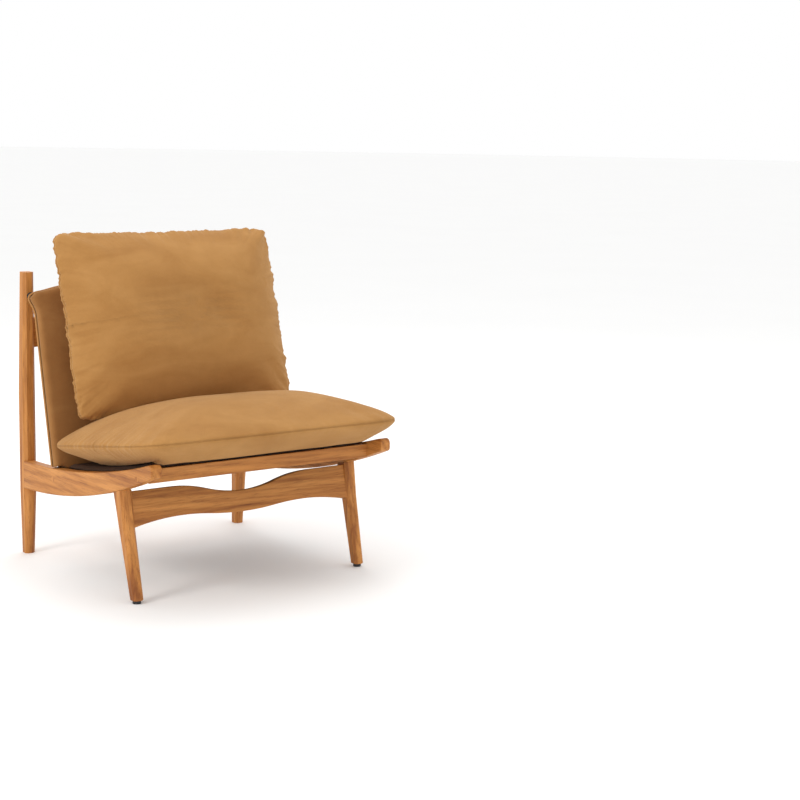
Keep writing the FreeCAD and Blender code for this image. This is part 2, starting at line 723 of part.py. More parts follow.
trim = panel_trim()
half_board = dim("board_thickness") / 2
board_body = panel_slab("board_blank", dim("board_inset"), -half_board,
                        dim("board_thickness"))[0]
front_body, front_solid = panel_slab("front_pad_blank", dim("front_pad_inset"), half_board,
                                     dim("front_pad_thickness"))
welt_outer = panel_slab("welt_outer", Size(0), -dim("welt_thickness") / 2,
                        dim("welt_thickness"))[0]
welt_inner = panel_slab("welt_inner", dim("welt_thickness"), -dim("welt_thickness"),
                        dim("welt_thickness") * 2)[0]


def front_face_edge(edge):
    """True for the front pad's outer edges, which are rounded by the fabric."""
    lean = math.radians(DIMENSIONS["panel_lean"])
    reach = DIMENSIONS["board_thickness"] / 2 + DIMENSIONS["front_pad_thickness"]
    foot = Vector(0, DIMENSIONS["panel_foot_y"], DIMENSIONS["panel_foot_z"])
    forward = Vector(0, -math.cos(lean), math.sin(lean))
    depths = [(vertex.Point - foot).dot(forward) for vertex in edge.Vertexes]
    above_foot = max(vertex.Point.z for vertex in edge.Vertexes) > foot.z
    return above_foot and all(abs(depth - reach) < 0.01 for depth in depths)


round_edges(front_body, front_solid, dim("front_pad_round"), front_face_edge)

rear_body = new_body("rear_pad_blank")
rear_sketches = []
for rear_inset, rear_depth, rear_corner in (
        (dim("rear_pad_inset"), -half_board, dim("panel_corner_radius") - dim("rear_pad_inset")),
        (dim("rear_pad_inset") + dim("rear_pad_bevel"), -half_board - dim("rear_pad_thickness"),
         dim("rear_corner_radius"))):
    rear_sketch = panel_sketch(rear_body, rear_depth)
    panel_outline(rear_sketch, rear_inset, rear_corner)
    rear_sketches.append(rear_sketch)
loft(rear_body, rear_sketches)


def panel_bolts():
    """Bolts through the posts, black spacers, inserts in the board and plugs over the heads."""
    bolts, spacers, inserts, plugs, bores = [], [], [], [], []
    z = dim("panel_bolt_z")
    back_y = dim("panel_plug_y")
    head_y = back_y - dim("panel_plug_depth")
    for side, sign in SIDES:
        x = dim("panel_bolt_x") * sign
        plugs.append(cylinder(f"panel_plug_{side}", (x, back_y, z), "-y",
                              dim("panel_plug_diameter"), dim("panel_plug_depth")))
        head = cylinder(f"panel_head_{side}", (x, head_y, z), "-y",
                        dim("panel_plug_diameter") - 1, dim("bolt_head_height"))
        shank = cylinder(f"panel_shank_{side}", (x, head_y, z), "-y",
                         dim("bolt_diameter"), head_y - dim("panel_bolt_front_y"))
        bolts.append(fuse(f"panel_bolt_{side}", [head, shank]))
        bore_depth = dim("panel_plug_depth") + dim("bolt_head_height") + 2 + CLEARANCE
        bores.append(cylinder(f"panel_bore_{side}", (x, back_y + 2, z), "-y",
                              dim("panel_plug_diameter"), bore_depth))
        spacers.append(cylinder(f"spacer_blank_{side}", (x, dim("spacer_back_y"), z), "-y",
                                dim("spacer_diameter"), dim("spacer_length")))
        inserts.append(cylinder(f"insert_blank_{side}", (x, dim("insert_back_y"), z), "-y",
                                dim("insert_diameter"), dim("insert_length")))
    return bolts, spacers, inserts, plugs, bores


bolts, spacer_blanks, insert_blanks, plugs, bores = panel_bolts()
panel_bolt_group = keep("panel_bolts", group("panel_bolt_group", bolts))
keep("back_plugs", group("back_plug_group", plugs))
panel_counterbores = group("panel_counterbore_group", bores)
insert_tool = group("insert_tool", insert_blanks)

# the front part of the panel's thickness, which the spacers stop at
spacer_stop = panel_slab("spacer_stop", Size(-30), Size(-6), Size(60))[0]

keep("panel_inserts", group("panel_insert_group", [
    cut(common(f"insert_{side}", [board_body, blank]), [panel_bolt_group], f"insert_{side}")
    for (side, sign), blank in zip(SIDES, insert_blanks)]))
post_tool = group("post_tool", list(posts.values()))
keep("panel_spacers", group("panel_spacer_group", [
    cut(blank, [post_tool, spacer_stop, rear_body, panel_bolt_group], f"spacer_{side}")
    for (side, sign), blank in zip(SIDES, spacer_blanks)]))


def panel_screws():
    """Wood screws up through the rear seat rail into the panel's board."""
    items = []
    y = dim("panel_foot_y") + dim("panel_screw_back")
    base_z = dim("rear_rail_top") - dim("panel_screw_depth")
    head_height = dim("panel_screw_head_height")
    for number, x in enumerate(PANEL_SCREW_XS):
        shank = cylinder(f"screw_shank{number}", (Size(x), y, base_z), "z",
                         dim("panel_screw_diameter"), dim("panel_screw_length"))
        head = cylinder(f"screw_head{number}", (Size(x), y, base_z - head_height), "z",
                        dim("panel_screw_head"), head_height)
        items.append(fuse(f"panel_screw{number}", [head, shank]))
    return group("panel_screw_group", items)


def panel_screw_wells():
    """The bores below the panel screws' heads, open at the rear rail's lower edge."""
    y = dim("panel_foot_y") + dim("panel_screw_back")
    low = dim("rear_rail_bottom") - 1
    high = (dim("rear_rail_top") - dim("panel_screw_depth") - dim("panel_screw_head_height")
            + CLEARANCE)
    return group("screw_wells", [
        cylinder(f"screw_well{number}", (Size(x), y, low), "z", dim("panel_screw_head"),
                 high - low)
        for number, x in enumerate(PANEL_SCREW_XS)])


screws = keep("panel_screws", panel_screws())
screw_wells = panel_screw_wells()

keep("back_panel_board", cut(board_body, [trim, insert_tool, screws], "board"))
keep("back_panel_front_pad", cut(front_body, [trim], "front_pad"))
keep("back_panel_rear_cover", cut(rear_body, [trim, panel_bolt_group], "rear_cover"))
keep("back_panel_welt", cut(welt_outer, [welt_inner, trim], "welt"))


# ---------------------------------------------------------------- seat platform

def curved_strip(name, first_x, width, low, high, front_y, back_y, middle=False):
    """A strip that follows the seat curve, between two offsets above it."""
    body = new_body(name)
    sketch = new_sketch(body, "YZ_Plane", (0, 0, first_x))
    corners = [(back_y, seat_line(back_y, low)), (back_y, seat_line(back_y, high)),
               (front_y, seat_line(front_y, high)), (front_y, seat_line(front_y, low))]
    radius = dim("seat_curve_radius")
    arcs = {1: (radius - high, -1), 3: (radius - low, 1)}
    outline(sketch, corners, arcs)
    pad(body, sketch, width, middle=middle)
    return body


deck = curved_strip("deck_blank", 0, dim("deck_half_width") * 2, -dim("deck_below"),
                    dim("deck_above"), dim("deck_front_y"), dim("deck_back_y"), middle=True)
keep("seat_deck_pad", deck)

screw_items = []
for side, sign in SIDES:
    for number, y in enumerate(CLEAT_SCREW_YS):
        z = seat_line(y, -dim("cleat_screw_below"))
        inner = (dim("rail_inner_x") - dim("cleat_width")) * sign
        outwards = "x" if sign > 0 else "-x"
        head = cylinder(f"cleat_head_{side}{number}", (inner, Size(y), z), outwards,
                        dim("cleat_screw_head"), dim("cleat_screw_head_height"))
        shank = cylinder(f"cleat_shank_{side}{number}", (inner, Size(y), z), outwards,
                         dim("cleat_screw_diameter"), dim("cleat_screw_length"))
        screw_items.append(fuse(f"cleat_screw_{side}{number}", [head, shank]))
cleat_screws = keep("cleat_screws", group("cleat_screw_group", screw_items))

for side, sign in SIDES:
    inner = dim("rail_inner_x") - dim("cleat_width")
    low_x = inner if sign > 0 else -dim("rail_inner_x")
    blank = curved_strip(f"cleat_blank_{side}", low_x, dim("cleat_width"), -dim("cleat_bottom"),
                         -dim("cleat_top"), dim("cleat_front_y"), dim("cleat_back_y"))
    keep(f"webbing_cleat_{side}", cut(blank, [cleat_screws], f"cleat_{side}"))


def webbing():
    """Elastic straps from cleat to cleat, each lying on the seat curve."""
    items = []
    half = dim("strap_half_length")
    for number in range(STRAP_COUNT):
        y = dim("strap_first_y") + dim("strap_pitch") * number
        slope = (y.number - DIMENSIONS["seat_curve_y"]) / DIMENSIONS["seat_curve_radius"]
        strap = doc.addObject("Part::Box", f"strap{number}")
        strap.setExpression("Length", (half * 2).text)
        strap.setExpression("Width", dim("strap_width").text)
        strap.setExpression("Height", dim("strap_thickness").text)
        turn = FreeCAD.Rotation(Vector(1, 0, 0), math.degrees(math.asin(slope)))
        first_y = y - dim("strap_width") / 2 * math.cos(math.asin(slope))
        lift = seat_line(y, -dim("cleat_top") + 0.2) - dim("strap_width") / 2 * slope
        place(strap, (-half, first_y, lift), turn)
        items.append(strap)
    return group("webbing_group", items)


keep("webbing_straps", webbing())


# ---------------------------------------------------------------- glides

glide_items = []
for side, sign in SIDES:
    x = dim("leg_foot_x") * sign
    disc = cylinder(f"glide_disc_{side}", (x, dim("leg_foot_y"), 0), "z",
                    dim("glide_diameter"), dim("leg_foot_z"))
    stem = cylinder(f"glide_stem_{side}", (x, dim("leg_foot_y"), dim("leg_foot_z") - 1), "z",
                    dim("glide_stem_diameter"), dim("glide_stem_length"))
    glide_items.append(fuse(f"glide_{side}", [disc, stem]))
front_glides = keep("front_glides", group("glide_group", glide_items))


# ---------------------------------------------------------------- finished wooden pieces

for side, sign in SIDES:
    keep(f"rear_post_{side}", cut(posts[side], [rails[side], top_rail] + all_dowels
                                  + cross_hardware + [panel_bolt_group, panel_counterbores],
                                  f"post_{side}"))
    keep(f"side_rail_{side}", cut(rails[side], all_dowels + cross_hardware + [cleat_screws],
                                  f"rail_{side}"))
    leg_tools = [rail_envelope, stretcher, front_glides] + all_dowels
    keep(f"front_leg_{side}", cut(legs[side], leg_tools, f"leg_{side}"))
keep("front_stretcher", cut(stretcher, all_dowels, "stretcher"))
keep("top_back_rail", cut(top_rail, all_dowels + cross_hardware, "top_rail"))
keep("front_seat_rail", cut(front_rail, all_dowels + cross_hardware, "front_rail"))
keep("rear_seat_rail", cut(rear_rail, all_dowels + cross_hardware + [screws, screw_wells],
                           "rear_rail"))


# ---------------------------------------------------------------- seat cushion

def seat_cushion():
    """The overlap of three prisms: side view, front view and plan."""
    side_body = new_body("seat_side_view")
    sketch = new_sketch(side_body, "YZ_Plane")
    low = dim("deck_above") + dim("cushion_gap")
    back = dim("seat_back_y")
    nose = dim("seat_front_y")
    under = dim("seat_nose_under_y")
    crown_y = dim("seat_crown_y")
    crown_z = dim("seat_crown_z")
    rear_run = back - crown_y
    rear_fall = crown_z - dim("seat_back_z")
    front_run = crown_y - nose
    front_fall = crown_z - dim("seat_nose_z")
    rear_radius = (rear_run * rear_run + rear_fall * rear_fall) / (rear_fall * 2)
    front_radius = (front_run * front_run + front_fall * front_fall) / (front_fall * 2)
    corners = [(back, seat_line(back, low)), (back, dim("seat_back_z")), (crown_y, crown_z),
               (nose, dim("seat_nose_z")), (under, seat_line(under, low))]
    arcs = {1: (rear_radius, 1), 2: (front_radius, 1),
            3: (dim("seat_nose_radius"), 1),
            4: (dim("seat_curve_radius") - low, 1)}
    outline(sketch, corners, arcs)
    pad(side_body, sketch, dim("seat_half_width") * 2, middle=True)

    front_view = new_body("seat_front_view")
    sketch = new_sketch(front_view, "XZ_Plane", (0, dim("seat_seam_z"), -dim("seat_seam_y")),
                        -DIMENSIONS["seat_tilt"])
    half = dim("seat_half_width")
    under_x = half - dim("seat_under_inset")
    top_x = half - dim("seat_top_inset")
    drop = -dim("seat_under_drop")
    skirt = -dim("seat_skirt_drop")
    rise = dim("seat_top_rise")
    corners = [(-half, 0), (-under_x, drop), (-under_x, skirt), (under_x, skirt), (under_x, drop),
               (half, 0), (top_x, rise), (-top_x, rise)]
    low_side = (dim("seat_side_under_radius"), 1)
    high_side = (dim("seat_side_over_radius"), 1)
    arcs = {0: low_side, 4: low_side, 5: high_side, 6: (dim("seat_top_radius"), 1), 7: high_side}
    outline(sketch, corners, arcs)
    pad(front_view, sketch, Size(900), middle=True)

    plan = new_body("seat_plan")
    sketch = new_sketch(plan, "XY_Plane", (0, 0, 200))
    front_corner = dim("seat_front_corner")
    rear_corner = dim("seat_rear_corner")
    corners = [(half - front_corner, nose), (half, nose + front_corner),
               (half, back - rear_corner), (half - rear_corner, back),
               (rear_corner - half, back), (-half, back - rear_corner),
               (-half, nose + front_corner), (front_corner - half, nose)]
    arcs = {0: (front_corner, 1), 2: (rear_corner, 1), 4: (rear_corner, 1),
            6: (front_corner, 1)}
    outline(sketch, corners, arcs)
    pad(plan, sketch, Size(300))
    return common("seat_cushion_blank", [side_body, front_view, plan])


def leaning_block(name, centre, lean, half_width, length, thickness, corner_radius, edge_radius):
    """A block with rounded corners and edges, in a plane that leans back by lean degrees."""
    body = new_body(name)
    sketch = new_sketch(body, "XZ_Plane", (0, centre[1], -centre[0]), -lean)
    x = half_width
    v = length / 2
    r = as_size(corner_radius)
    corners = [(-x, r - v), (r - x, -v), (x - r, -v), (x, r - v), (x, v - r), (x - r, v),
               (r - x, v), (-x, v - r)]
    arcs = {0: (r, 1), 2: (r, 1), 4: (r, 1), 6: (r, 1)}
    outline(sketch, corners, arcs)
    solid = pad(body, sketch, thickness, middle=True)
    turn = math.radians(lean)
    through = Vector(0, -math.cos(turn), math.sin(turn))
    middle = Vector(0, centre[0].number, centre[1].number)
    half = as_size(thickness).number / 2

    def on_a_face(edge):
        return all(abs(abs((vertex.Point - middle).dot(through)) - half) < 0.01
                   for vertex in edge.Vertexes)

    round_edges(body, solid, edge_radius, on_a_face)
    return body


seat_blank = seat_cushion()
seat_core_middle = (dim("seat_seam_y"), dim("seat_seam_z") + dim("seat_core_lift"))
seat_core = leaning_block("seat_core_blank", seat_core_middle, DIMENSIONS["seat_core_lean"],
                          dim("seat_core_half_width"), dim("seat_core_length"),
                          dim("seat_core_thickness"), dim("seat_core_corner"),
                          dim("seat_core_edge"))
keep("seat_cushion_core", seat_core)
keep("seat_cushion_cover", cut(seat_blank, [seat_core], "seat_cover"))


# ---------------------------------------------------------------- back cushion

lean = math.radians(DIMENSIONS["back_lean"])
back_middle = (dim("back_foot_y") + dim("back_length") / 2 * math.sin(lean),
               dim("back_foot_z") + dim("back_length") / 2 * math.cos(lean))
back_blank = leaning_block("back_cushion_blank", back_middle, DIMENSIONS["back_lean"],
                           dim("back_half_width"), dim("back_length"), dim("back_thickness"),
                           dim("back_corner_radius"), dim("back_edge_round"))
back_core = leaning_block("back_core_blank", back_middle, DIMENSIONS["back_lean"],
                          dim("back_core_half_width"), dim("back_core_length"),
                          dim("back_core_thickness"), dim("back_core_corner"),
                          dim("back_core_edge"))
keep("back_cushion_core", back_core)
keep("back_cushion_cover", cut(back_blank, [back_core], "back_cover"))


# ---------------------------------------------------------------- checks and export

doc.recompute()
for item in doc.Objects:
    if "Invalid" in item.State or "Error" in item.State:
        raise RuntimeError(f"{item.Label} did not build: {item.State}")
os.makedirs("parts", exist_ok=True)
for label, item in nodes.items():
    shape = item.Shape
    if shape.isNull() or not shape.isValid() or not shape.Solids:
        raise RuntimeError(f"{label} has no valid shape")
for label, item in nodes.items():
    item.Shape.exportStep(f"parts/{label}.step")
    extent = item.Shape.BoundBox
    print(f"{label}: {len(item.Shape.Solids)} solids, {item.Shape.Volume / 1000:.1f} cm3, "
          f"x {extent.XMin:.1f}..{extent.XMax:.1f} y {extent.YMin:.1f}..{extent.YMax:.1f} "
          f"z {extent.ZMin:.1f}..{extent.ZMax:.1f}")
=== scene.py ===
"""Looks for the armless lounge chair: wood, velvet cushions, upholstered back panel.

Metres, in the CAD frame: -Y is the front of the chair, +X the sitter's left, +Z up.
"""

import math

import bpy
import numpy as np
from mathutils import Matrix, Vector, noise
from mathutils.bvhtree import BVHTree


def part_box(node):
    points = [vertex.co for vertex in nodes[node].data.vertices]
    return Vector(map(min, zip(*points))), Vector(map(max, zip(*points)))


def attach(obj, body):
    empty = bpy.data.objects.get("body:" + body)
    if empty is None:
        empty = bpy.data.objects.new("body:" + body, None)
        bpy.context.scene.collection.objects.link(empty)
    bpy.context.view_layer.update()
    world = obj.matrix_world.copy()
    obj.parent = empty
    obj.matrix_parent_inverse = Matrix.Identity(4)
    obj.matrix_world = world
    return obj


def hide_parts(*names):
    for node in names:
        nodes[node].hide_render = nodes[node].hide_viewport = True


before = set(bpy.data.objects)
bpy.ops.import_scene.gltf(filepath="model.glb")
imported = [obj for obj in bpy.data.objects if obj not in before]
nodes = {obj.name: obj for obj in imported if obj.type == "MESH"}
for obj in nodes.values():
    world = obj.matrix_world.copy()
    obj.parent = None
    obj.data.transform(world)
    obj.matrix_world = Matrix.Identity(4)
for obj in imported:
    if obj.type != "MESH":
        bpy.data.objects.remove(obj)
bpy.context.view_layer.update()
scene = bpy.context.scene


# ---------------------------------------------------------------- node helpers

def new_material(name):
    material = bpy.data.materials.new(name)
    material.use_nodes = True
    tree = material.node_tree
    tree.nodes.clear()
    output = tree.nodes.new("ShaderNodeOutputMaterial")
    shader = tree.nodes.new("ShaderNodeBsdfPrincipled")
    tree.links.new(shader.outputs[0], output.inputs[0])
    return material, tree, shader


def link(tree, source, target):
    tree.links.new(source, target)


def object_coordinates(tree, scale, rotation=(0, 0, 0), offset=(0, 0, 0)):
    place = tree.nodes.new("ShaderNodeTexCoord")
    mapping = tree.nodes.new("ShaderNodeMapping")
    mapping.inputs["Scale"].default_value = scale
    mapping.inputs["Rotation"].default_value = rotation
    mapping.inputs["Location"].default_value = offset
    link(tree, place.outputs["Object"], mapping.inputs["Vector"])
    return mapping.outputs["Vector"]


def noise_node(tree, vector, scale, detail=4.0, roughness=0.55, distortion=0.0):
    node = tree.nodes.new("ShaderNodeTexNoise")
    node.inputs["Scale"].default_value = scale
    node.inputs["Detail"].default_value = detail
    node.inputs["Roughness"].default_value = roughness
    node.inputs["Distortion"].default_value = distortion
    link(tree, vector, node.inputs["Vector"])
    return node.outputs["Fac"]


def ramp(tree, value, stops):
    node = tree.nodes.new("ShaderNodeValToRGB")
    elements = node.color_ramp.elements
    while len(elements) < len(stops):
        elements.new(0.5)
    for element, (position, colour) in zip(elements, stops):
        element.position = position
        element.color = (*colour, 1)
    link(tree, value, node.inputs["Fac"])
    return node.outputs["Color"]


def mix(tree, kind, amount, first, second):
    node = tree.nodes.new("ShaderNodeMix")
    node.data_type = "RGBA"
    node.blend_type = kind
    for socket, value in ((node.inputs[0], amount), (node.inputs[6], first),
                          (node.inputs[7], second)):
        if isinstance(value, bpy.types.NodeSocket):
            link(tree, value, socket)
        elif isinstance(value, (int, float)):
            socket.default_value = value
        else:
            socket.default_value = (*value, 1)
    return node.outputs[2]


def maths(tree, kind, first, second=0.0, third=0.0, clamp=False):
    node = tree.nodes.new("ShaderNodeMath")
    node.operation = kind
    node.use_clamp = clamp
    for socket, value in zip(node.inputs, (first, second, third)):
        if isinstance(value, bpy.types.NodeSocket):
            link(tree, value, socket)
        else:
            socket.default_value = value
    return node.outputs[0]


def bump(tree, height, distance, strength=1.0, normal=None):
    node = tree.nodes.new("ShaderNodeBump")
    node.inputs["Distance"].default_value = distance
    node.inputs["Strength"].default_value = strength
    link(tree, height, node.inputs["Height"])
    if normal is not None:
        link(tree, normal, node.inputs["Normal"])
    return node.outputs["Normal"]


def attribute(tree, name):
    node = tree.nodes.new("ShaderNodeAttribute")
    node.attribute_name = name
    return node.outputs["Fac"]


# ---------------------------------------------------------------- materials

# how far the noise is stretched along the grain, and how far the grain leans
GRAIN = {"x": (0.055, 1, 1), "y": (1, 0.055, 1), "z": (1, 1, 0.055)}
LEAN = {"x": (0, 0, math.radians(4)), "y": (math.radians(3), 0, 0),
        "z": (0, math.radians(3), 0)}


def wood(name, axis, offset, light, middle, dark, gloss=0.42):
    """Oiled hardwood with its grain along an axis."""
    material, tree, shader = new_material(name)
    along = object_coordinates(tree, GRAIN[axis], LEAN[axis], offset)
    figure = noise_node(tree, along, scale=30, detail=4, roughness=0.55, distortion=0.4)
    rings = tree.nodes.new("ShaderNodeTexWave")
    rings.wave_type = "BANDS"
    rings.bands_direction = "DIAGONAL"
    rings.inputs["Scale"].default_value = 30
    rings.inputs["Distortion"].default_value = 6
    rings.inputs["Detail"].default_value = 3
    rings.inputs["Detail Scale"].default_value = 1.4
    rings.inputs["Detail Roughness"].default_value = 0.6
    link(tree, along, rings.inputs["Vector"])
    streaks = noise_node(tree, along, scale=120, detail=4, roughness=0.6)
    pores = noise_node(tree, along, scale=460, detail=5, roughness=0.7)
    even = object_coordinates(tree, (1, 1, 1), offset=offset)
    patches = noise_node(tree, even, scale=6, detail=2, roughness=0.5)
    base = ramp(tree, figure, ((0.32, dark), (0.46, middle), (0.64, light)))
    lines = ramp(tree, rings.outputs["Fac"],
                 ((0.0, (0.66, 0.54, 0.44)), (0.32, (0.95, 0.92, 0.88)), (1.0, (1.03, 1.02, 1.0))))
    colour = mix(tree, "MULTIPLY", 0.5, base, lines)
    streak_colour = ramp(tree, streaks,
                         ((0.33, (0.68, 0.58, 0.48)), (0.5, (1, 1, 1)), (0.72, (1.10, 1.08, 1.04))))
    colour = mix(tree, "MULTIPLY", 0.7, colour, streak_colour)
    pore_colour = ramp(tree, pores, ((0.34, (0.45, 0.34, 0.26)), (0.47, (1, 1, 1))))
    colour = mix(tree, "MULTIPLY", 0.6, colour, pore_colour)
    patch_colour = ramp(tree, patches, ((0.3, (0.88, 0.82, 0.76)), (0.7, (1.06, 1.04, 1.02))))
    colour = mix(tree, "MULTIPLY", 0.8, colour, patch_colour)
    link(tree, colour, shader.inputs["Base Color"])
    rough = maths(tree, "MULTIPLY_ADD", pores, 0.22, gloss)
    link(tree, rough, shader.inputs["Roughness"])
    shader.inputs["Specular IOR Level"].default_value = 0.32
    link(tree, bump(tree, pores, distance=0.00025, strength=0.6), shader.inputs["Normal"])
    return material


HONEY = ((0.61, 0.275, 0.072), (0.51, 0.212, 0.048), (0.33, 0.115, 0.024))
PALE = ((0.72, 0.52, 0.31), (0.62, 0.43, 0.24), (0.50, 0.33, 0.17))
RAW_GLOSS = 0.6

# distances from the seam in metres, and radians of stitching per metre along it
GROOVE_FLOOR, GROOVE_EDGE, STITCH_WAVES = 0.0004, 0.0032, 1800.0


def fabric(name, base, light, dark, seam=False):
    """Short-pile velvet: soft lighter and darker patches where the pile lies differently.

    With seam, the mesh attribute "seam" is the distance to the stitched line, and "along" the
    distance along it; the colour near the seam is painted darker, as shade in its groove."""
    material, tree, shader = new_material(name)
    even = object_coordinates(tree, (1, 1, 1))
    strokes = object_coordinates(tree, (1.0, 1.7, 2.6), (0.3, 0.2, 0.5))
    crush = noise_node(tree, strokes, scale=5.5, detail=4, roughness=0.55, distortion=0.6)
    mottle = noise_node(tree, even, scale=34, detail=4, roughness=0.6, distortion=0.2)
    pile = noise_node(tree, even, scale=950, detail=2, roughness=0.6)
    colour = ramp(tree, crush, ((0.22, dark), (0.5, base), (0.80, light)))
    mottle_colour = ramp(tree, mottle, ((0.3, (0.95, 0.94, 0.93)), (0.72, (1.04, 1.035, 1.03))))
    colour = mix(tree, "MULTIPLY", 0.75, colour, mottle_colour)
    pile_colour = ramp(tree, pile, ((0.3, (0.84, 0.82, 0.80)), (0.7, (1.07, 1.07, 1.06))))
    colour = mix(tree, "MULTIPLY", 0.6, colour, pile_colour)
    rib = tree.nodes.new("ShaderNodeTexWave")
    rib.bands_direction = "X"
    rib.inputs["Scale"].default_value = 210
    rib.inputs["Distortion"].default_value = 1.2
    rib.inputs["Detail"].default_value = 1
    link(tree, even, rib.inputs["Vector"])
    height = maths(tree, "MULTIPLY_ADD", rib.outputs["Fac"], 0.25, pile)
    normal = bump(tree, height, distance=0.0006, strength=0.5)
    normal = bump(tree, mottle, distance=0.003, strength=0.18, normal=normal)
    if seam:
        distance = maths(tree, "ABSOLUTE", attribute(tree, "seam"))
        groove = tree.nodes.new("ShaderNodeMapRange")
        groove.interpolation_type = "SMOOTHSTEP"
        groove.inputs["From Min"].default_value = GROOVE_FLOOR
        groove.inputs["From Max"].default_value = GROOVE_EDGE
        link(tree, distance, groove.inputs["Value"])
        stitch = maths(tree, "SINE",
                       maths(tree, "MULTIPLY", attribute(tree, "along"), STITCH_WAVES))
        line = maths(tree, "MULTIPLY_ADD", stitch, 0.06, groove.outputs["Result"])
        # painted shade: the colour darkens towards the seam line, as shade in its groove
        groove_painted_shade = ramp(tree, groove.outputs["Result"],
                     ((0.0, (0.87, 0.84, 0.81)), (0.75, (0.97, 0.96, 0.95)), (1.0, (1, 1, 1))))
        colour = mix(tree, "MULTIPLY", 1.0, colour, groove_painted_shade)
        normal = bump(tree, line, distance=0.0016, strength=0.9, normal=normal)
    link(tree, colour, shader.inputs["Base Color"])
    link(tree, normal, shader.inputs["Normal"])
    shader.inputs["Roughness"].default_value = 0.86
    shader.inputs["Specular IOR Level"].default_value = 0.12
    shader.inputs["Sheen Weight"].default_value = 0.30
    shader.inputs["Sheen Roughness"].default_value = 0.42
    shader.inputs["Sheen Tint"].default_value = (0.93, 0.70, 0.44, 1)
    return material


CAMEL = ((0.425, 0.212, 0.066), (0.490, 0.256, 0.087), (0.365, 0.170, 0.049))
# the same camel velvet painted darker for the back panel: painted shade for its recess behind the
# cushions
CAMEL_PANEL_PAINTED_SHADE = ((0.330, 0.152, 0.049), (0.390, 0.190, 0.066), (0.265, 0.115, 0.035))
CAMEL_WELT = ((0.44, 0.215, 0.072), (0.52, 0.27, 0.10), (0.33, 0.150, 0.048))


def woven(name, colour, scale):
    """Plain weave or webbing, painted darker in the hollows between its threads and lighter on
    their tops, as shade and highlight.
    """
    material, tree, shader = new_material(name)
    even = object_coordinates(tree, (1, 1, 1))
    threads = []
    for direction in ("X", "Y"):
        wave = tree.nodes.new("ShaderNodeTexWave")
        wave.bands_direction = direction
        wave.inputs["Scale"].default_value = scale
        wave.inputs["Distortion"].default_value = 0.4
        link(tree, even, wave.inputs["Vector"])
        threads.append(wave.outputs["Fac"])
    height = maths(tree, "MULTIPLY", threads[0], threads[1])
    fuzz = noise_node(tree, even, scale=700, detail=3, roughness=0.6)
    height = maths(tree, "MULTIPLY_ADD", fuzz, 0.5, height)
    # painted shade and highlight: darker in the hollows of the weave, lighter on the thread tops
    dark = tuple(c * 0.55 for c in colour)
    light = tuple(min(1, c * 1.5) for c in colour)
    tint = ramp(tree, height, ((0.1, dark), (0.5, colour), (1.0, light)))
    link(tree, tint, shader.inputs["Base Color"])
    link(tree, bump(tree, height, distance=0.0005, strength=0.7), shader.inputs["Normal"])
    shader.inputs["Roughness"].default_value = 0.8
    return material


def moulded(name, colour, rough, metal=0.0):
    """Plastic, plated steel or foam with a fine surface texture."""
    material, tree, shader = new_material(name)
    even = object_coordinates(tree, (1, 1, 1))
    grain = noise_node(tree, even, scale=900, detail=3, roughness=0.6)
    wear = noise_node(tree, even, scale=60, detail=4, roughness=0.6)
    dark = tuple(c * 0.75 for c in colour)
    light = tuple(min(1, c * 1.3 + 0.004) for c in colour)
    link(tree, ramp(tree, wear, ((0.3, dark), (0.7, light))), shader.inputs["Base Color"])
    link(tree, maths(tree, "MULTIPLY_ADD", wear, 0.25, rough), shader.inputs["Roughness"])
    link(tree, bump(tree, grain, distance=0.0002, strength=0.4), shader.inputs["Normal"])
    shader.inputs["Metallic"].default_value = metal
    return material


camel = fabric("camel_velvet", *CAMEL, seam=True)
# the back panel's velvet is the darker copy, with painted shade
camel_panel_painted_shade = fabric("camel_velvet_panel_painted_shade", *CAMEL_PANEL_PAINTED_SHADE, seam=True)
camel_welt = fabric("camel_velvet_piping", *CAMEL_WELT)
deck_cloth = woven("platform_cloth", (0.085, 0.042, 0.022), scale=330)
strap_cloth = woven("elastic_webbing", (0.09, 0.08, 0.07), scale=240)
black = moulded("black_plastic", (0.012, 0.012, 0.013), rough=0.42)
zinc = moulded("zinc_plated_steel", (0.60, 0.60, 0.57), rough=0.30, metal=1.0)
foam = moulded("foam", (0.80, 0.74, 0.52), rough=0.9)


def dress(material, *names):
    for name in names:
        mesh = nodes[name].data
        mesh.materials.clear()
        mesh.materials.append(material)


WOODEN = {"rear_post_left": "z", "rear_post_right": "z", "front_leg_left": "z",
          "front_leg_right": "z", "side_rail_left": "y", "side_rail_right": "y",
          "front_stretcher": "x", "front_seat_rail": "x", "rear_seat_rail": "x",
          "top_back_rail": "x"}
for number, (name, axis) in enumerate(WOODEN.items()):
    # each piece is cut from another part of the timber
    shift = (0.37 * number, 0.61 * number, 0.23 * number)
    dress(wood("honey_" + name, axis, shift, *HONEY), name)
for number, name in enumerate(("webbing_cleat_left", "webbing_cleat_right")):
    dress(wood("pale_" + name, "y", (0.3 * number, 0, 0.2), *PALE, gloss=RAW_GLOSS), name)
dress(wood("pale_dowels", "y", (0.1, 0.2, 0.3), *PALE, gloss=RAW_GLOSS),
      "leg_dowels", "post_dowels", "stretcher_dowels", "alignment_dowels")
dress(wood("honey_plugs", "z", (0.9, 0.4, 0.1), *HONEY), "side_plugs", "back_plugs")
dress(wood("pale_board", "x", (0.5, 0.1, 0.7), *PALE, gloss=RAW_GLOSS), "back_panel_board")
dress(zinc, "frame_bolts", "barrel_nuts", "panel_bolts", "panel_inserts", "panel_screws",
      "cleat_screws")
dress(black, "panel_spacers", "front_glides")
dress(foam, "seat_cushion_core", "back_cushion_core")
dress(strap_cloth, "webbing_straps")


# ---------------------------------------------------------------- softened wooden edges

WELD_DISTANCE = 0.00002


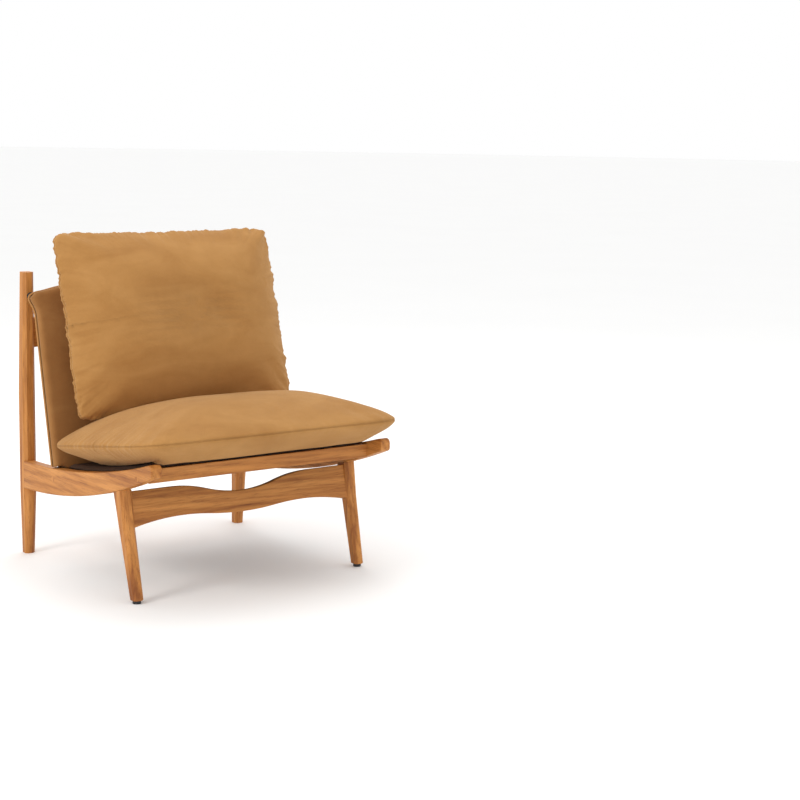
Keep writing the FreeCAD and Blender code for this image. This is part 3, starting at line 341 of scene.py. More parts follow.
def soften(name, width, angle):
    """Round every edge sharper than angle, in degrees, as hand finishing does."""
    piece = nodes[name]
    weld = piece.modifiers.new("weld", "WELD")
    weld.merge_threshold = WELD_DISTANCE
    bevel = piece.modifiers.new("soften", "BEVEL")
    bevel.width = width
    bevel.segments = 2
    bevel.limit_method = "ANGLE"
    bevel.angle_limit = math.radians(angle)
    bevel.harden_normals = True
    bevel.use_clamp_overlap = True


# ---------------------------------------------------------------- mesh helpers

def mesh_object(name, points, faces, material, smooth=True):
    mesh = bpy.data.meshes.new(name)
    mesh.from_pydata([tuple(p) for p in points], [], faces)
    mesh.validate()
    mesh.update()
    thing = bpy.data.objects.new(name, mesh)
    scene.collection.objects.link(thing)
    mesh.materials.append(material)
    for polygon in mesh.polygons:
        polygon.use_smooth = smooth
    return thing


def coordinates(mesh):
    flat = np.zeros(len(mesh.vertices) * 3)
    mesh.vertices.foreach_get("co", flat)
    return flat.reshape(-1, 3)


def set_coordinates(mesh, points):
    mesh.vertices.foreach_set("co", np.asarray(points, np.float32).ravel())
    mesh.update()


def vertex_normals(mesh):
    flat = np.zeros(len(mesh.vertices) * 3)
    mesh.vertices.foreach_get("normal", flat)
    return flat.reshape(-1, 3)


def set_attribute(mesh, name, values):
    layer = mesh.attributes.get(name) or mesh.attributes.new(name, "FLOAT", "POINT")
    layer.data.foreach_set("value", np.asarray(values, np.float32))


def get_attribute(mesh, name):
    values = np.zeros(len(mesh.vertices))
    mesh.attributes[name].data.foreach_get("value", values)
    return values


def bake_modifiers(thing):
    """Apply every modifier of an object to its mesh."""
    graph = bpy.context.evaluated_depsgraph_get()
    fresh = bpy.data.meshes.new_from_object(thing.evaluated_get(graph))
    thing.modifiers.clear()
    thing.data = fresh


def remesh(thing, voxel):
    modifier = thing.modifiers.new("remesh", "REMESH")
    modifier.mode = "VOXEL"
    modifier.voxel_size = voxel
    bake_modifiers(thing)


def shade_smooth(mesh):
    for polygon in mesh.polygons:
        polygon.use_smooth = True


def subdivide(thing):
    """Subdivide the mesh once."""
    modifier = thing.modifiers.new("subdivide", "SUBSURF")
    modifier.levels = modifier.render_levels = 1
    bake_modifiers(thing)
    shade_smooth(thing.data)


PRESSURE, TRAVEL, CLOTH_FRAMES = 4.0, 0.022, 20
HELD_AT_ALL = 0.02


def swell(thing, held):
    """Inflate a closed cover with cloth simulation; no point moves further than TRAVEL.

    held says how firmly each point stays in place, from 0 to 1."""
    start = coordinates(thing.data)
    modifier = thing.modifiers.new("cloth", "CLOTH")
    settings = modifier.settings
    settings.quality = 5
    settings.mass = 0.3
    settings.tension_stiffness = 12
    settings.compression_stiffness = 12
    settings.shear_stiffness = 6
    settings.bending_stiffness = 0.6
    settings.use_pressure = True
    settings.uniform_pressure_force = PRESSURE
    settings.effector_weights.gravity = 0
    modifier.collision_settings.use_collision = False
    modifier.collision_settings.use_self_collision = False
    group = thing.vertex_groups.new(name="held")
    for index, weight in enumerate(held):
        if weight > HELD_AT_ALL:
            group.add([index], float(weight), "REPLACE")
    settings.vertex_group_mass = "held"
    scene.frame_start = 1
    scene.frame_end = CLOTH_FRAMES
    modifier.point_cache.frame_start = 1
    modifier.point_cache.frame_end = CLOTH_FRAMES
    for step in range(1, CLOTH_FRAMES + 1):
        scene.frame_set(step)
    graph = bpy.context.evaluated_depsgraph_get()
    result = thing.evaluated_get(graph)
    moved = coordinates(result.data)
    thing.modifiers.clear()
    scene.frame_set(1)
    travel = moved - start
    length = np.linalg.norm(travel, axis=1, keepdims=True)
    travel *= np.minimum(1.0, TRAVEL / np.maximum(length, 1e-9))
    set_coordinates(thing.data, start + travel)


def ease(mesh, share, rounds):
    """Move each point its share of the way to the mean of its neighbours, round after round."""
    points = coordinates(mesh)
    edges = np.zeros(len(mesh.edges) * 2, np.int64)
    mesh.edges.foreach_get("vertices", edges)
    first, second = edges[0::2], edges[1::2]
    degree = np.bincount(edges, minlength=len(points)).reshape(-1, 1)
    share = np.asarray(share).reshape(-1, 1)
    for _ in range(rounds):
        total = np.zeros_like(points)
        for axis in range(3):
            total[:, axis] = (np.bincount(first, points[second, axis], len(points))
                              + np.bincount(second, points[first, axis], len(points)))
        points = points + share * (total / degree - points)
    set_coordinates(mesh, points)


def fractal(points, scale, seed, octaves=3):
    """Fractal noise at each point; another seed reads another place in the same noise."""
    shift = Vector((seed * 7.13, seed * 3.71, seed * 5.29))
    return np.array([noise.fractal(Vector(p) * scale + shift, 1.0, 2.0, octaves)
                     for p in points])


def bell(distance, width):
    """1 at distance nought, falling away on both sides over width."""
    return np.exp(-(distance / width) ** 2)


def superellipse(count, power):
    """Points round a rounded square that reaches from -1 to 1."""
    angles = np.linspace(0, 2 * math.pi, count, endpoint=False)
    c, s = np.cos(angles), np.sin(angles)
    return np.stack([np.sign(c) * np.abs(c) ** (2 / power),
                     np.sign(s) * np.abs(s) ** (2 / power)], 1)


def border(first, columns, rows):
    """The points round a grid of (columns + 1) by (rows + 1) points, starting at its first."""
    width = columns + 1
    ring = [first + i for i in range(width)]
    ring += [first + j * width + columns for j in range(1, rows + 1)]
    ring += [first + rows * width + i for i in range(columns - 1, -1, -1)]
    ring += [first + j * width for j in range(rows - 1, 0, -1)]
    return ring


# ---------------------------------------------------------------- shared places

# the seat rails' curve: its lowest point and its radius
SEAT_LOW_Y, SEAT_LOW_Z, SEAT_RADIUS = 0.356, 0.2356, 2.36
DECK_TOP = 0.009
PANEL_FOOT = Vector((0, 0.1685, 0.2375))
PANEL_LEAN = math.radians(12.5)
PANEL_UP = Vector((0, math.sin(PANEL_LEAN), math.cos(PANEL_LEAN)))
PANEL_FORWARD = Vector((0, -math.cos(PANEL_LEAN), math.sin(PANEL_LEAN)))
PANEL_FRONT = 0.0225
# what a cushion stays clear of the panel
WALL_GAP = 0.0022


def seat_line(y, above=0.0):
    """Height of the seat curve at y."""
    radius = SEAT_RADIUS - above
    return SEAT_LOW_Z + SEAT_RADIUS - np.sqrt(radius ** 2 - (y - SEAT_LOW_Y) ** 2)


def panel_face_y(z, clearance):
    """The y of the back panel's front face at height z."""
    reach = (PANEL_FRONT + clearance) / math.cos(PANEL_LEAN)
    return PANEL_FOOT.y - reach + (z - PANEL_FOOT.z) * math.tan(PANEL_LEAN)


# ---------------------------------------------------------------- cushion covers

VOXEL = 0.006


def pillow(name, rim, rings, over, under, place, material):
    """A closed cover from a rim of (u, w) points in -1..1, swelling over and under its seam."""
    count = len(rim)
    shares = [math.sin(math.pi / 2 * k / rings) for k in range(rings - 1, 0, -1)]
    points = [place(u, w, 0.0) for u, w in rim]
    for rise, sign in ((over, 1), (under, -1)):
        for r in shares:
            points += [place(u * r, w * r, sign * rise(u * r, w * r)) for u, w in rim]
        points.append(place(0.0, 0.0, sign * rise(0.0, 0.0)))
    faces = []
    first = count
    for flip in (False, True):
        pole = first + len(shares) * count
        rows = [list(range(count))]
        rows += [list(range(start, start + count)) for start in range(first, pole, count)]
        first = pole + 1
        for outer, inner in zip(rows, rows[1:]):
            for i in range(count):
                j = (i + 1) % count
                face = (outer[i], outer[j], inner[j], inner[i])
                faces.append(face[::-1] if flip else face)
        for i in range(count):
            face = (rows[-1][i], rows[-1][(i + 1) % count], pole)
            faces.append(face[::-1] if flip else face)
    return mesh_object(name, points, faces, material)


def swelling(depth, power, blunt):
    """Thickness over a cushion: full in the middle, closing towards each of its four sides."""
    def rise(u, w):
        return depth * (max(0.0, 1 - abs(u) ** power) * max(0.0, 1 - abs(w) ** power)) ** blunt
    return rise


def doming(depth, power, blunt, corner):
    """Thickness over a cushion whose section is the same from the middle to any part of its rim.

    corner is the power of the rim's own superellipse."""
    def rise(u, w):
        r = (abs(u) ** corner + abs(w) ** corner) ** (1 / corner)
        return depth * max(0.0, 1 - r ** power) ** blunt
    return rise


# ---------------------------------------------------------------- seat cushion

SEAT_HALF = 0.356
SEAT_FRONT, SEAT_REAR = -0.371, 0.160
SEAT_MIDDLE = (SEAT_FRONT + SEAT_REAR) / 2
SEAT_TOP, SEAT_UNDER = 0.070, 0.066
SEAT_RIM_POWER = 6
# the seam falls towards the rear from its height at the front rail
SEAM_SLOPE, SEAM_FRONT_Y, SEAM_FRONT_Z = 0.155, -0.352, 0.381
# how far the sides and the ends pull in between the corners, as a share
SEAT_SIDE_PULL, SEAT_END_PULL = 0.016, 0.014
# half widths, 2 mm clear of where the platform ends and where the side rails begin and end
DECK_HALF, RAIL_INNER, RAIL_OUTER = 0.288, 0.292, 0.323
# where the cover drops over the platform's front edge, and over what length
DECK_FRONT_Y, DECK_FRONT_RUN = -0.266, 0.016
DECK_DROP, RAIL_DROP, OUTSIDE_DROP = 0.012, 0.008, 0.010
SEAT_GAP = 0.0016


def seat_seam(y):
    return SEAM_FRONT_Z - SEAM_SLOPE * (y - SEAM_FRONT_Y)


def seat_place(u, w, rise):
    half_length = (SEAT_REAR - SEAT_FRONT) / 2
    x = SEAT_HALF * u * (1 - SEAT_SIDE_PULL * (1 - w * w) * abs(u) ** 3)
    y = SEAT_MIDDLE + half_length * w * (1 - SEAT_END_PULL * (1 - u * u) * abs(w) ** 3)
    return x, y, seat_seam(y) + rise


def make_seat_cushion():
    rim = superellipse(count=300, power=SEAT_RIM_POWER)
    cushion = pillow("seat_cushion", rim, 28,
                     doming(SEAT_TOP, power=2.4, blunt=0.44, corner=SEAT_RIM_POWER),
                     doming(SEAT_UNDER, power=3.2, blunt=0.40, corner=SEAT_RIM_POWER),
                     seat_place, camel)
    remesh(cushion, VOXEL)
    mesh = cushion.data
    points = coordinates(mesh)
    seam = points[:, 2] - seat_seam(points[:, 1])
    angle = np.arctan2(points[:, 1] - SEAT_MIDDLE, points[:, 0])
    swell(cushion, held=bell(seam, 0.006))
    ease(mesh, share=0.5 * (1 - bell(seam, 0.020)), rounds=30)
    set_attribute(mesh, "seam", seam)
    set_attribute(mesh, "along", angle * 0.42)  # 0.42 m is about the rim's mean radius
    subdivide(cushion)
    finish_seat(cushion)
    return cushion


def finish_seat(cushion):
    """Puckers along the seam, soft unevenness, and the places where the cushion rests."""
    mesh = cushion.data
    points = coordinates(mesh)
    normals = vertex_normals(mesh)
    seam = get_attribute(mesh, "seam")
    along = get_attribute(mesh, "along")
    near_seam = np.exp(-np.abs(seam) / 0.024)
    stretched = np.stack([along * 60, seam * 6, np.zeros(len(points))], 1)
    corner = np.clip((np.abs(points[:, 0]) - 0.22) / 0.11, 0, 1)
    puckers = fractal(stretched, 1.0, seed=3) * (0.0008 + 0.0018 * corner) * near_seam
    soft = fractal(points * np.array([1.0, 1.3, 1.0]), 6.0, seed=5, octaves=2) * 0.0014
    groove = -0.0012 * bell(seam, 0.0035)
    points = points + normals * (puckers + soft + groove)[:, None]
    # it rests on the platform, sags a little outside it, and stands against the back panel
    across = np.abs(points[:, 0])
    past_deck = np.clip((DECK_FRONT_Y - points[:, 1]) / DECK_FRONT_RUN, 0, 1)
    past_deck *= np.where(across < DECK_HALF, DECK_DROP, 0)
    over_rail = RAIL_DROP * np.clip((across - RAIL_INNER) / 0.010, 0, 1)
    outside = OUTSIDE_DROP * np.clip((across - RAIL_OUTER) / 0.008, 0, 1)
    y = np.clip(points[:, 1], -0.30, SEAT_REAR)
    rest = seat_line(y, DECK_TOP + SEAT_GAP) - np.maximum(over_rail + outside, past_deck)
    points[:, 2] = np.maximum(points[:, 2], rest)
    points[:, 1] = np.minimum(points[:, 1], panel_face_y(points[:, 2], WALL_GAP))
    set_coordinates(mesh, points)


seat_cushion = make_seat_cushion()
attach(seat_cushion, "seat_cushion")
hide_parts("seat_cushion_cover", "seat_cushion_core")


# ---------------------------------------------------------------- back cushion

BACK_LEAN = math.radians(16.5)
BACK_UP = Vector((0, math.sin(BACK_LEAN), math.cos(BACK_LEAN)))
BACK_FORWARD = Vector((0, -math.cos(BACK_LEAN), math.sin(BACK_LEAN)))
back_low, back_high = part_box("back_cushion_cover")
BACK_CENTRE = (back_low + back_high) / 2
BACK_HALF, BACK_HALF_LENGTH = 0.298, 0.228
BACK_FRONT, BACK_REAR = 0.070, 0.064
# how far the edges pull in between the corners, as a share; the top edge most
BACK_SIDE_PULL, BACK_TOP_PULL, BACK_FOOT_PULL = 0.018, 0.042, 0.012
# a seam value for points that are nowhere near the seam
FAR_FROM_SEAM = 1.0
# how far it stays off the seat cushion; only points under UNDERSIDE_TOP can touch it
CUSHION_GAP, UNDERSIDE_TOP, ABOVE_SEAT = 0.0012, 0.50, 0.7
# the height up to which the cushion leans on the panel
LEANS_UP_TO = 0.69


def back_place(u, w, depth):
    x = BACK_HALF * u * (1 - BACK_SIDE_PULL * (1 - w * w) * abs(u) ** 3)
    pull = BACK_TOP_PULL if w > 0 else BACK_FOOT_PULL
    v = BACK_HALF_LENGTH * w * (1 - pull * (1 - u * u) * abs(w) ** 3)
    return BACK_CENTRE + Vector((x, 0, 0)) + BACK_UP * v + BACK_FORWARD * depth


def back_local(points):
    """Points as (across, up the cushion, forward of its seam)."""
    offset = points - np.array(BACK_CENTRE)
    return np.stack([offset[:, 0], offset @ np.array(BACK_UP), offset @ np.array(BACK_FORWARD)], 1)


def make_back_cushion():
    rim = superellipse(count=320, power=18)
    cushion = pillow("back_cushion", rim, 30, swelling(BACK_FRONT, power=5.0, blunt=0.42),
                     swelling(BACK_REAR, power=5.0, blunt=0.42), back_place, camel)
    remesh(cushion, VOXEL)
    mesh = cushion.data
    local = back_local(coordinates(mesh))
    angle = np.arctan2(local[:, 1] / BACK_HALF_LENGTH, local[:, 0] / BACK_HALF)
    seam = local[:, 2].copy()
    near_rim = np.maximum(np.abs(local[:, 0]) / BACK_HALF, np.abs(local[:, 1]) / BACK_HALF_LENGTH)
    swell(cushion, held=bell(seam, 0.007) * (near_rim > 0.85))
    front_face = np.clip((local[:, 2] - 0.018) / 0.03, 0, 1)
    ease(mesh, share=0.5 * front_face, rounds=40)
    set_attribute(mesh, "seam", np.where(near_rim > 0.8, seam, FAR_FROM_SEAM))
    set_attribute(mesh, "along", angle * 0.36)  # 0.36 m is about the rim's mean radius
    subdivide(cushion)
    finish_back(cushion)
    return cushion


def finish_back(cushion):
    """Puckers along the seam, deeper at the sides and the top, and soft unevenness."""
    mesh = cushion.data
    points = coordinates(mesh)
    normals = vertex_normals(mesh)
    local = back_local(points)
    seam = get_attribute(mesh, "seam")
    along = get_attribute(mesh, "along")
    near = np.exp(-np.abs(seam) / 0.016)
    wide = np.exp(-np.abs(seam) / 0.045)
    fine = np.stack([along * 150, seam * 12, np.zeros(len(points))], 1)
    coarse = np.stack([along * 44, seam * 5, np.zeros(len(points))], 1)
    side = np.clip((np.abs(local[:, 0]) / BACK_HALF - 0.6) / 0.35, 0, 1)
    top = np.clip((local[:, 1] / BACK_HALF_LENGTH - 0.6) / 0.35, 0, 1)
    edge = np.maximum(side, top)
    puckers = (fractal(fine, 1.0, seed=2) * 0.0034 * near
               + fractal(coarse, 1.0, seed=6) * 0.0050 * wide * edge)
    broad = fractal(points, 5.0, seed=8, octaves=2) * 0.0016
    groove = -0.0022 * bell(seam, 0.004)
    set_coordinates(mesh, points + normals * (puckers + broad + groove)[:, None])


def rest_on_seat(cushion, below):
    """Flatten the underside against the seat cushion, and the back against the panel."""
    mesh = cushion.data
    points = coordinates(mesh)
    tree = BVHTree.FromObject(below, bpy.context.evaluated_depsgraph_get())
    for index, point in enumerate(points):
        if point[2] > UNDERSIDE_TOP:
            continue
        hit = tree.ray_cast(Vector((point[0], point[1], ABOVE_SEAT)), Vector((0, 0, -1)))[0]
        if hit is not None:
            points[index, 2] = max(point[2], hit.z + CUSHION_GAP)
    wall = panel_face_y(points[:, 2], WALL_GAP)
    leaning = points[:, 2] < LEANS_UP_TO
    points[leaning, 1] = np.minimum(points[leaning, 1], wall[leaning])
    set_coordinates(mesh, points)


back_cushion = make_back_cushion()
rest_on_seat(back_cushion, seat_cushion)
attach(back_cushion, "back_cushion")
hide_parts("back_cushion_cover", "back_cushion_core")


# ---------------------------------------------------------------- back panel

# The panel's own places: x across, v up from its foot, depth forward of its piped middle.
HALF_WIDTH, HEIGHT, CROWN_X, CROWN_RADIUS = 0.319, 0.449, 0.150, 0.593
# the cover's top corners stand out as small ears
EAR_X, EAR_V, EAR_SIZE = 0.314, 0.408, 0.017
EAR_OUT, EAR_UP, EAR_BACK = 0.011, 0.007, 0.004
# the folds run down from here
FOLD_X, FOLD_V, FOLD_REACH = 0.305, 0.415, 0.045
# the foot clears the side rails, and the deck between them
FOOT_ON_RAIL, FOOT_ON_DECK, FOOT_STEP_X = 0.0086, 0.0008, 0.2915
# seam values, which place the seam's groove bump and its painted shade: on the seam, and on plain
# cloth
SEAM, PLAIN = 0.0, 0.02
WELT_RADIUS, WELT_FOOT_V = 0.0027, 0.0105


def crown_shape(inset, corner):
    """The inset outline's crown radius and centre height, and the centre of its corner."""
    crown = CROWN_RADIUS - inset
    centre_v = HEIGHT - CROWN_RADIUS
    corner_x = HALF_WIDTH - inset - corner
    corner_v = centre_v + math.sqrt((crown - corner) ** 2 - (corner_x - CROWN_X) ** 2)
    return crown, centre_v, corner_x, corner_v


def panel_rim(inset, corner, count):
    """The panel's outline from the left foot over the crown to the right foot, as (x, v)."""
    crown, centre_v, corner_x, corner_v = crown_shape(inset, corner)
    tilt = math.atan2(corner_x - CROWN_X, corner_v - centre_v)
    path = [(HALF_WIDTH - inset, 0.0), (HALF_WIDTH - inset, corner_v)]
    for k in range(1, 13):
        a = (math.pi / 2 - tilt) * k / 12
        path.append((corner_x + corner * math.cos(a), corner_v + corner * math.sin(a)))
    for k in range(1, 17):
        a = tilt * (1 - k / 16)
        path.append((CROWN_X + crown * math.sin(a), centre_v + crown * math.cos(a)))
    path += [(-x, v) for x, v in reversed(path)]
    path = np.array(path)
    length = np.r_[0, np.cumsum(np.linalg.norm(np.diff(path, axis=0), axis=1))]
    even = np.linspace(0, length[-1], count)
    return np.stack([np.interp(even, length, path[:, 0]), np.interp(even, length, path[:, 1])], 1)


def panel_point(x, v, depth):
    near = math.exp(-((abs(x) - EAR_X) ** 2 + (v - EAR_V) ** 2) / EAR_SIZE ** 2)
    x += math.copysign(EAR_OUT * near, x)
    return (PANEL_FOOT + Vector((x, 0, 0)) + PANEL_UP * (v + EAR_UP * near)
            + PANEL_FORWARD * (depth - EAR_BACK * near))


def foot_v(x):
    """How far up the panel starts: higher over the side rails."""
    return FOOT_ON_RAIL if abs(x) > FOOT_STEP_X else FOOT_ON_DECK


def cord(name, points, radius, material):
    """A round cord along points."""
    curve = bpy.data.curves.new(name, "CURVE")
    curve.dimensions = "3D"
    curve.bevel_depth = radius
    curve.bevel_resolution = 2
    curve.use_fill_caps = True
    spline = curve.splines.new("POLY")
    spline.points.add(len(points) - 1)
    for target, point in zip(spline.points, points):
        target.co = (*point, 1)
    thing = bpy.data.objects.new(name, curve)
    scene.collection.objects.link(thing)
    graph = bpy.context.evaluated_depsgraph_get()
    mesh = bpy.data.meshes.new_from_object(thing.evaluated_get(graph))
    bpy.data.objects.remove(thing)
    solid = bpy.data.objects.new(name, mesh)
    scene.collection.objects.link(solid)
    mesh.materials.clear()
    mesh.materials.append(material)
    shade_smooth(mesh)
    return solid


def panel_slab(name, layers, material, columns=64, rows=48):
    """A padded slab: a grid on the panel's outline at both ends, and rings between them.

    Each layer is (inset, corner, depth, seam, seam along the top); depth is a function of
    (x, v). The first and the last layer become the two faces."""
    points, faces, seams, rings = [], [], [], []

    def add(t, s, layer):
        inset, corner, depth, seam, top_seam = layer
        x, v = panel_grid(t, s, inset, corner)
        points.append((x, v, depth(x, v)))
        seams.append(top_seam if s == 1.0 else seam)

    def add_face(layer, flip):
        first = len(points)
        for j in range(rows + 1):
            for i in range(columns + 1):
                add(2 * i / columns - 1, j / rows, layer)
        for j in range(rows):
            for i in range(columns):
                a = first + j * (columns + 1) + i
                face = (a, a + 1, a + columns + 2, a + columns + 1)
                faces.append(face[::-1] if flip else face)
        return border(first, columns, rows)

    round_rim = [(2 * i / columns - 1, 0.0) for i in range(columns + 1)]
    round_rim += [(1.0, j / rows) for j in range(1, rows + 1)]
    round_rim += [(2 * i / columns - 1, 1.0) for i in range(columns - 1, -1, -1)]
    round_rim += [(-1.0, j / rows) for j in range(rows - 1, 0, -1)]
    rings.append(add_face(layers[0], flip=True))
    for layer in layers[1:-1]:
        first = len(points)
        for t, s in round_rim:
            add(t, s, layer)
        rings.append(list(range(first, len(points))))
    rings.append(add_face(layers[-1], flip=False))
    for lower, upper in zip(rings, rings[1:]):
        for i in range(len(lower)):
            j = (i + 1) % len(lower)
            faces.append((lower[i], lower[j], upper[j], upper[i]))
    slab = mesh_object(name, [panel_point(*p) for p in points], faces, material)
    set_attribute(slab.data, "seam", seams)
    set_attribute(slab.data, "along", [x - v for x, v, _ in points])
    return slab


def crown_v(x, inset, corner):
    """Height of the panel's top edge at x."""
    crown, centre_v, corner_x, corner_v = crown_shape(inset, corner)
    x = min(abs(x), HALF_WIDTH - inset)
    if x <= CROWN_X:
        return HEIGHT - inset
    touch = CROWN_X + (corner_x - CROWN_X) * crown / (crown - corner)
    if x <= touch:
        return centre_v + math.sqrt(crown ** 2 - (x - CROWN_X) ** 2)
    return corner_v + math.sqrt(max(0.0, corner ** 2 - (x - corner_x) ** 2))


def panel_grid(t, s, inset, corner):
    """Column t in -1..1 and row s in 0..1 to a point (x, v), denser towards the edges."""
    x = (math.sin(t * math.pi / 2) * 0.45 + t * 0.55) * (HALF_WIDTH - inset)
    low = foot_v(x)
    high = crown_v(x, inset, corner)
    up = 0.55 * s + 0.45 * (1 - math.cos(math.pi * s)) / 2
    return x, low + (high - low) * up


def gathers(x, v, depth, strength):
    """Soft folds that run down from the top corners, and slight waves along the sides."""
    corner = Vector((abs(x) - FOLD_X, v - FOLD_V))
    turn = math.atan2(corner.y, corner.x)
    folds = math.sin(turn * 9 + 1.3 * (x > 0)) * math.exp(-corner.length / FOLD_REACH)
    drift = noise.noise(Vector((x * 6, v * 7, depth * 9 + 4)))
    return strength * (folds * 0.9 + drift * 0.8)


def front_depth(x, v):
    """The front face, very slightly fuller away from its edges."""
    edge = min(HALF_WIDTH - abs(x), crown_v(x, 0.0015, 0.0205) - v, 0.08)
    fullness = 0.0012 * min(1.0, max(0.0, edge) / 0.06)
    return PANEL_FRONT - 0.0012 + fullness + gathers(x, v, 1, 0.0007)


def rear_depth(x, v):
    """The rear face inside its border seam, very slightly fuller away from its edges."""
    edge = min(HALF_WIDTH - 0.028 - abs(x), crown_v(x, 0.028, 0.008) - v, 0.1)
    fullness = 0.0012 * min(1.0, max(0.0, edge) / 0.05)
    return -0.0122 - fullness + gathers(x, v, 2, 0.0010)


def level(depth, strength=0.0):
    """A layer at one depth, gathered by strength."""
    return lambda x, v: depth + gathers(x, v, depth * 50, strength)


front_layers = [(0.0062, 0.0165, level(0.0018), SEAM, SEAM),
                (0.0040, 0.0180, level(0.0030), SEAM, SEAM),
                (0.0022, 0.0195, level(0.0052, 0.0003), 0.0022, 0.0022),
                (0.0014, 0.0206, level(0.0092, 0.0006), PLAIN, PLAIN),
                (0.0018, 0.0200, level(0.0138, 0.0007), PLAIN, PLAIN),
                (0.0040, 0.0185, level(0.0182, 0.0006), PLAIN, PLAIN),
                (0.0078, 0.0160, level(0.0208, 0.0006), PLAIN, PLAIN),
                (0.0125, 0.0140, front_depth, PLAIN, PLAIN)]
# the rear face's border seam runs up both sides, but not along the top
rear_layers = [(0.0300, 0.0080, rear_depth, PLAIN, PLAIN),
               (0.0280, 0.0080, level(-0.0132, 0.0008), 0.0030, PLAIN),
               (0.0262, 0.0085, level(-0.0116, 0.0004), SEAM, PLAIN),
               (0.0242, 0.0095, level(-0.0126, 0.0008), 0.0030, PLAIN),
               (0.0150, 0.0140, level(-0.0100, 0.0018), PLAIN, PLAIN),
               (0.0080, 0.0180, level(-0.0070, 0.0014), PLAIN, PLAIN),
               (0.0034, 0.0190, level(-0.0044, 0.0006), 0.0025, 0.0025),
               (0.0042, 0.0180, level(-0.0030), SEAM, SEAM),
               (0.0062, 0.0165, level(-0.0018), SEAM, SEAM)]
panel_front = panel_slab("back_panel_front", front_layers, camel_panel_painted_shade)
panel_rear = panel_slab("back_panel_rear", rear_layers, camel_panel_painted_shade)
for shell in (panel_front, panel_rear):
    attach(shell, "frame")
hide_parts("back_panel_front_pad", "back_panel_board")
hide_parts("back_panel_rear_cover")

welt_line = [panel_point(x, max(v, WELT_FOOT_V), 0.0)
             for x, v in panel_rim(inset=0.0012, corner=0.0206, count=300)]
panel_welt = cord("back_panel_welt_cord", welt_line, WELT_RADIUS, camel_welt)
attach(panel_welt, "frame")
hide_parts("back_panel_welt")


# ---------------------------------------------------------------- seat platform

# half its thickness, how round its edge is, and how far its middle is above the rails' curve
DECK_HALF_THICKNESS, DECK_ROUND, DECK_MIDDLE = 0.0060, 0.006, 0.0025
DECK_CLEARANCE = 0.0008


def make_deck():
    """The stuffed platform, with soft edges, that lies on the webbing."""
    low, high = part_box("seat_deck_pad")
    columns, rows = 60, 44
    half = high.x - DECK_CLEARANCE
    front, rear = low.y + DECK_CLEARANCE, high.y - DECK_CLEARANCE
    points, faces = [], []
    for side in (1, -1):
        for j in range(rows + 1):
            for i in range(columns + 1):
                x = half * (2 * i / columns - 1)
                y = front + (rear - front) * j / rows
                edge = min(half - abs(x), y - front, rear - y)
                full = math.sqrt(max(0.0, 1 - (1 - min(1, edge / DECK_ROUND)) ** 2))
                wave = 0.0004 * noise.noise(Vector((x * 12, y * 12, side)))
                rise = (side * DECK_HALF_THICKNESS + wave) * full
                points.append((x, y, float(seat_line(y)) + DECK_MIDDLE + rise))
    width = columns + 1
    layer = width * (rows + 1)
    for side in (0, 1):
        for j in range(rows):
            for i in range(columns):
                a = side * layer + j * width + i
                face = (a, a + 1, a + width + 1, a + width)
                faces.append(face if side == 0 else face[::-1])
    ring = border(0, columns, rows)
    for a, b in zip(ring, ring[1:] + ring[:1]):
        faces.append((b, a, a + layer, b + layer))
    return mesh_object("seat_platform", points, faces, deck_cloth)


deck = make_deck()
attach(deck, "frame")
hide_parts("seat_deck_pad")

for name in ("rear_post_left", "rear_post_right", "front_leg_left", "front_leg_right"):
    soften(name, width=0.0016, angle=25)


# ---------------------------------------------------------------- floor, light and camera

def make_floor():
    """A wide pale floor that fades into the pale surroundings."""
    sides, reach = 96, 60.0
    rim = [(reach * math.cos(2 * math.pi * k / sides), reach * math.sin(2 * math.pi * k / sides), 0)
           for k in range(sides)]
    material, tree, shader = new_material("pale_floor")
    even = object_coordinates(tree, (1, 1, 1))
    cloud = noise_node(tree, even, scale=1.2, detail=3, roughness=0.5)
    link(tree, ramp(tree, cloud, ((0.3, (0.955, 0.955, 0.95)), (0.7, (0.965, 0.965, 0.96)))),
         shader.inputs["Base Color"])
    shader.inputs["Roughness"].default_value = 0.9
    shader.inputs["Specular IOR Level"].default_value = 0.1
    floor = mesh_object("floor", rim, [tuple(range(sides))], material, smooth=False)


make_floor()

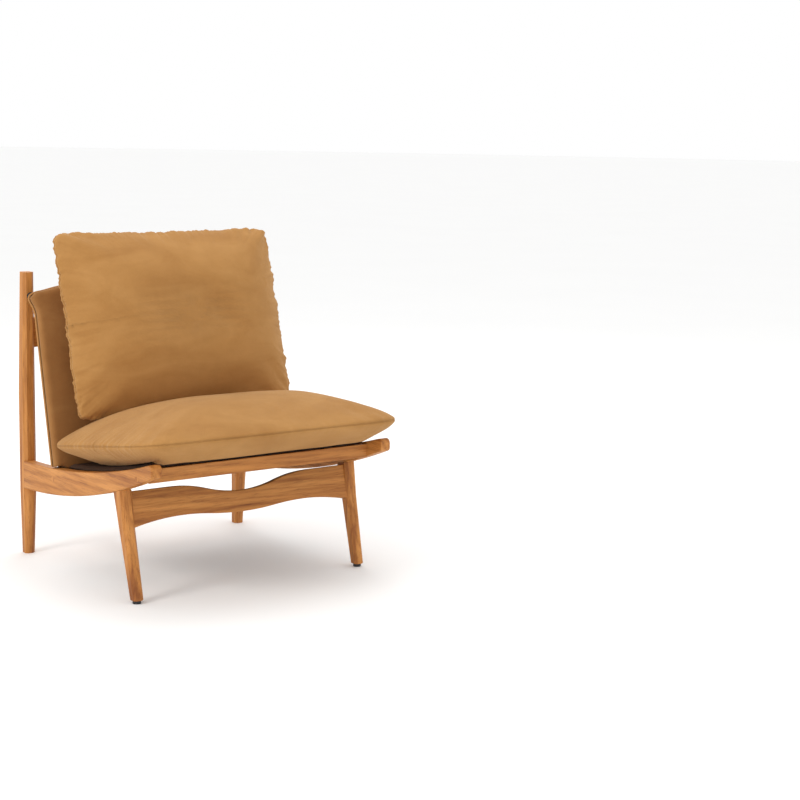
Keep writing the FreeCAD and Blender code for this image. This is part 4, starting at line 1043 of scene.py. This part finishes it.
world = bpy.data.worlds.new("studio")
scene.world = world
world.use_nodes = True
background = world.node_tree.nodes["Background"]
background.inputs["Color"].default_value = (1.0, 1.0, 1.0, 1)
background.inputs["Strength"].default_value = 1.0


def area_light(name, location, target, size, power, colour=(1, 1, 1)):
    data = bpy.data.lights.new(name, "AREA")
    data.shape = "RECTANGLE"
    data.size = size
    data.size_y = size
    data.energy = power
    data.color = colour
    lamp = bpy.data.objects.new(name, data)
    scene.collection.objects.link(lamp)
    lamp.location = location
    lamp.rotation_euler = (Vector(target) - Vector(location)).to_track_quat("-Z", "Y").to_euler()


area_light("key", (-3.6, -0.5, 3.0), (0, 0, 0.4), size=1.3, power=50, colour=(1, 0.985, 0.96))
area_light("top", (0.6, 0.4, 3.6), (0, 0, 0.4), size=2.0, power=22)
area_light("rim", (1.6, 3.2, 2.4), (0, 0, 0.5), size=2.0, power=18)

# from the fit to the photograph; angles in radians

CAMERA_PLACE = (-2.09494, -3.54352, 1.06950)
CAMERA_AZIMUTH, CAMERA_ELEVATION, CAMERA_ROLL = -0.648549, 0.158934, 0.018306
CAMERA_FOCAL_PIXELS, IMAGE_PIXELS, SENSOR = 1724.09, 800, 36.0


def make_camera():
    """The camera that took the photograph's front view."""
    a, e = CAMERA_AZIMUTH, CAMERA_ELEVATION
    back = Vector((math.sin(a) * math.cos(e), -math.cos(a) * math.cos(e), math.sin(e)))
    right = Vector((math.cos(a), math.sin(a), 0))
    up = back.cross(right)
    turn_right = right * math.cos(CAMERA_ROLL) + up * math.sin(CAMERA_ROLL)
    turn_up = up * math.cos(CAMERA_ROLL) - right * math.sin(CAMERA_ROLL)
    data = bpy.data.cameras.new("camera")
    data.sensor_width = SENSOR
    data.lens = CAMERA_FOCAL_PIXELS / IMAGE_PIXELS * SENSOR
    camera = bpy.data.objects.new("camera", data)
    scene.collection.objects.link(camera)
    matrix = Matrix((turn_right, turn_up, back)).transposed().to_4x4()
    matrix.translation = Vector(CAMERA_PLACE)
    camera.matrix_world = matrix
    scene.camera = camera


make_camera()
scene.view_settings.view_transform = "Standard"
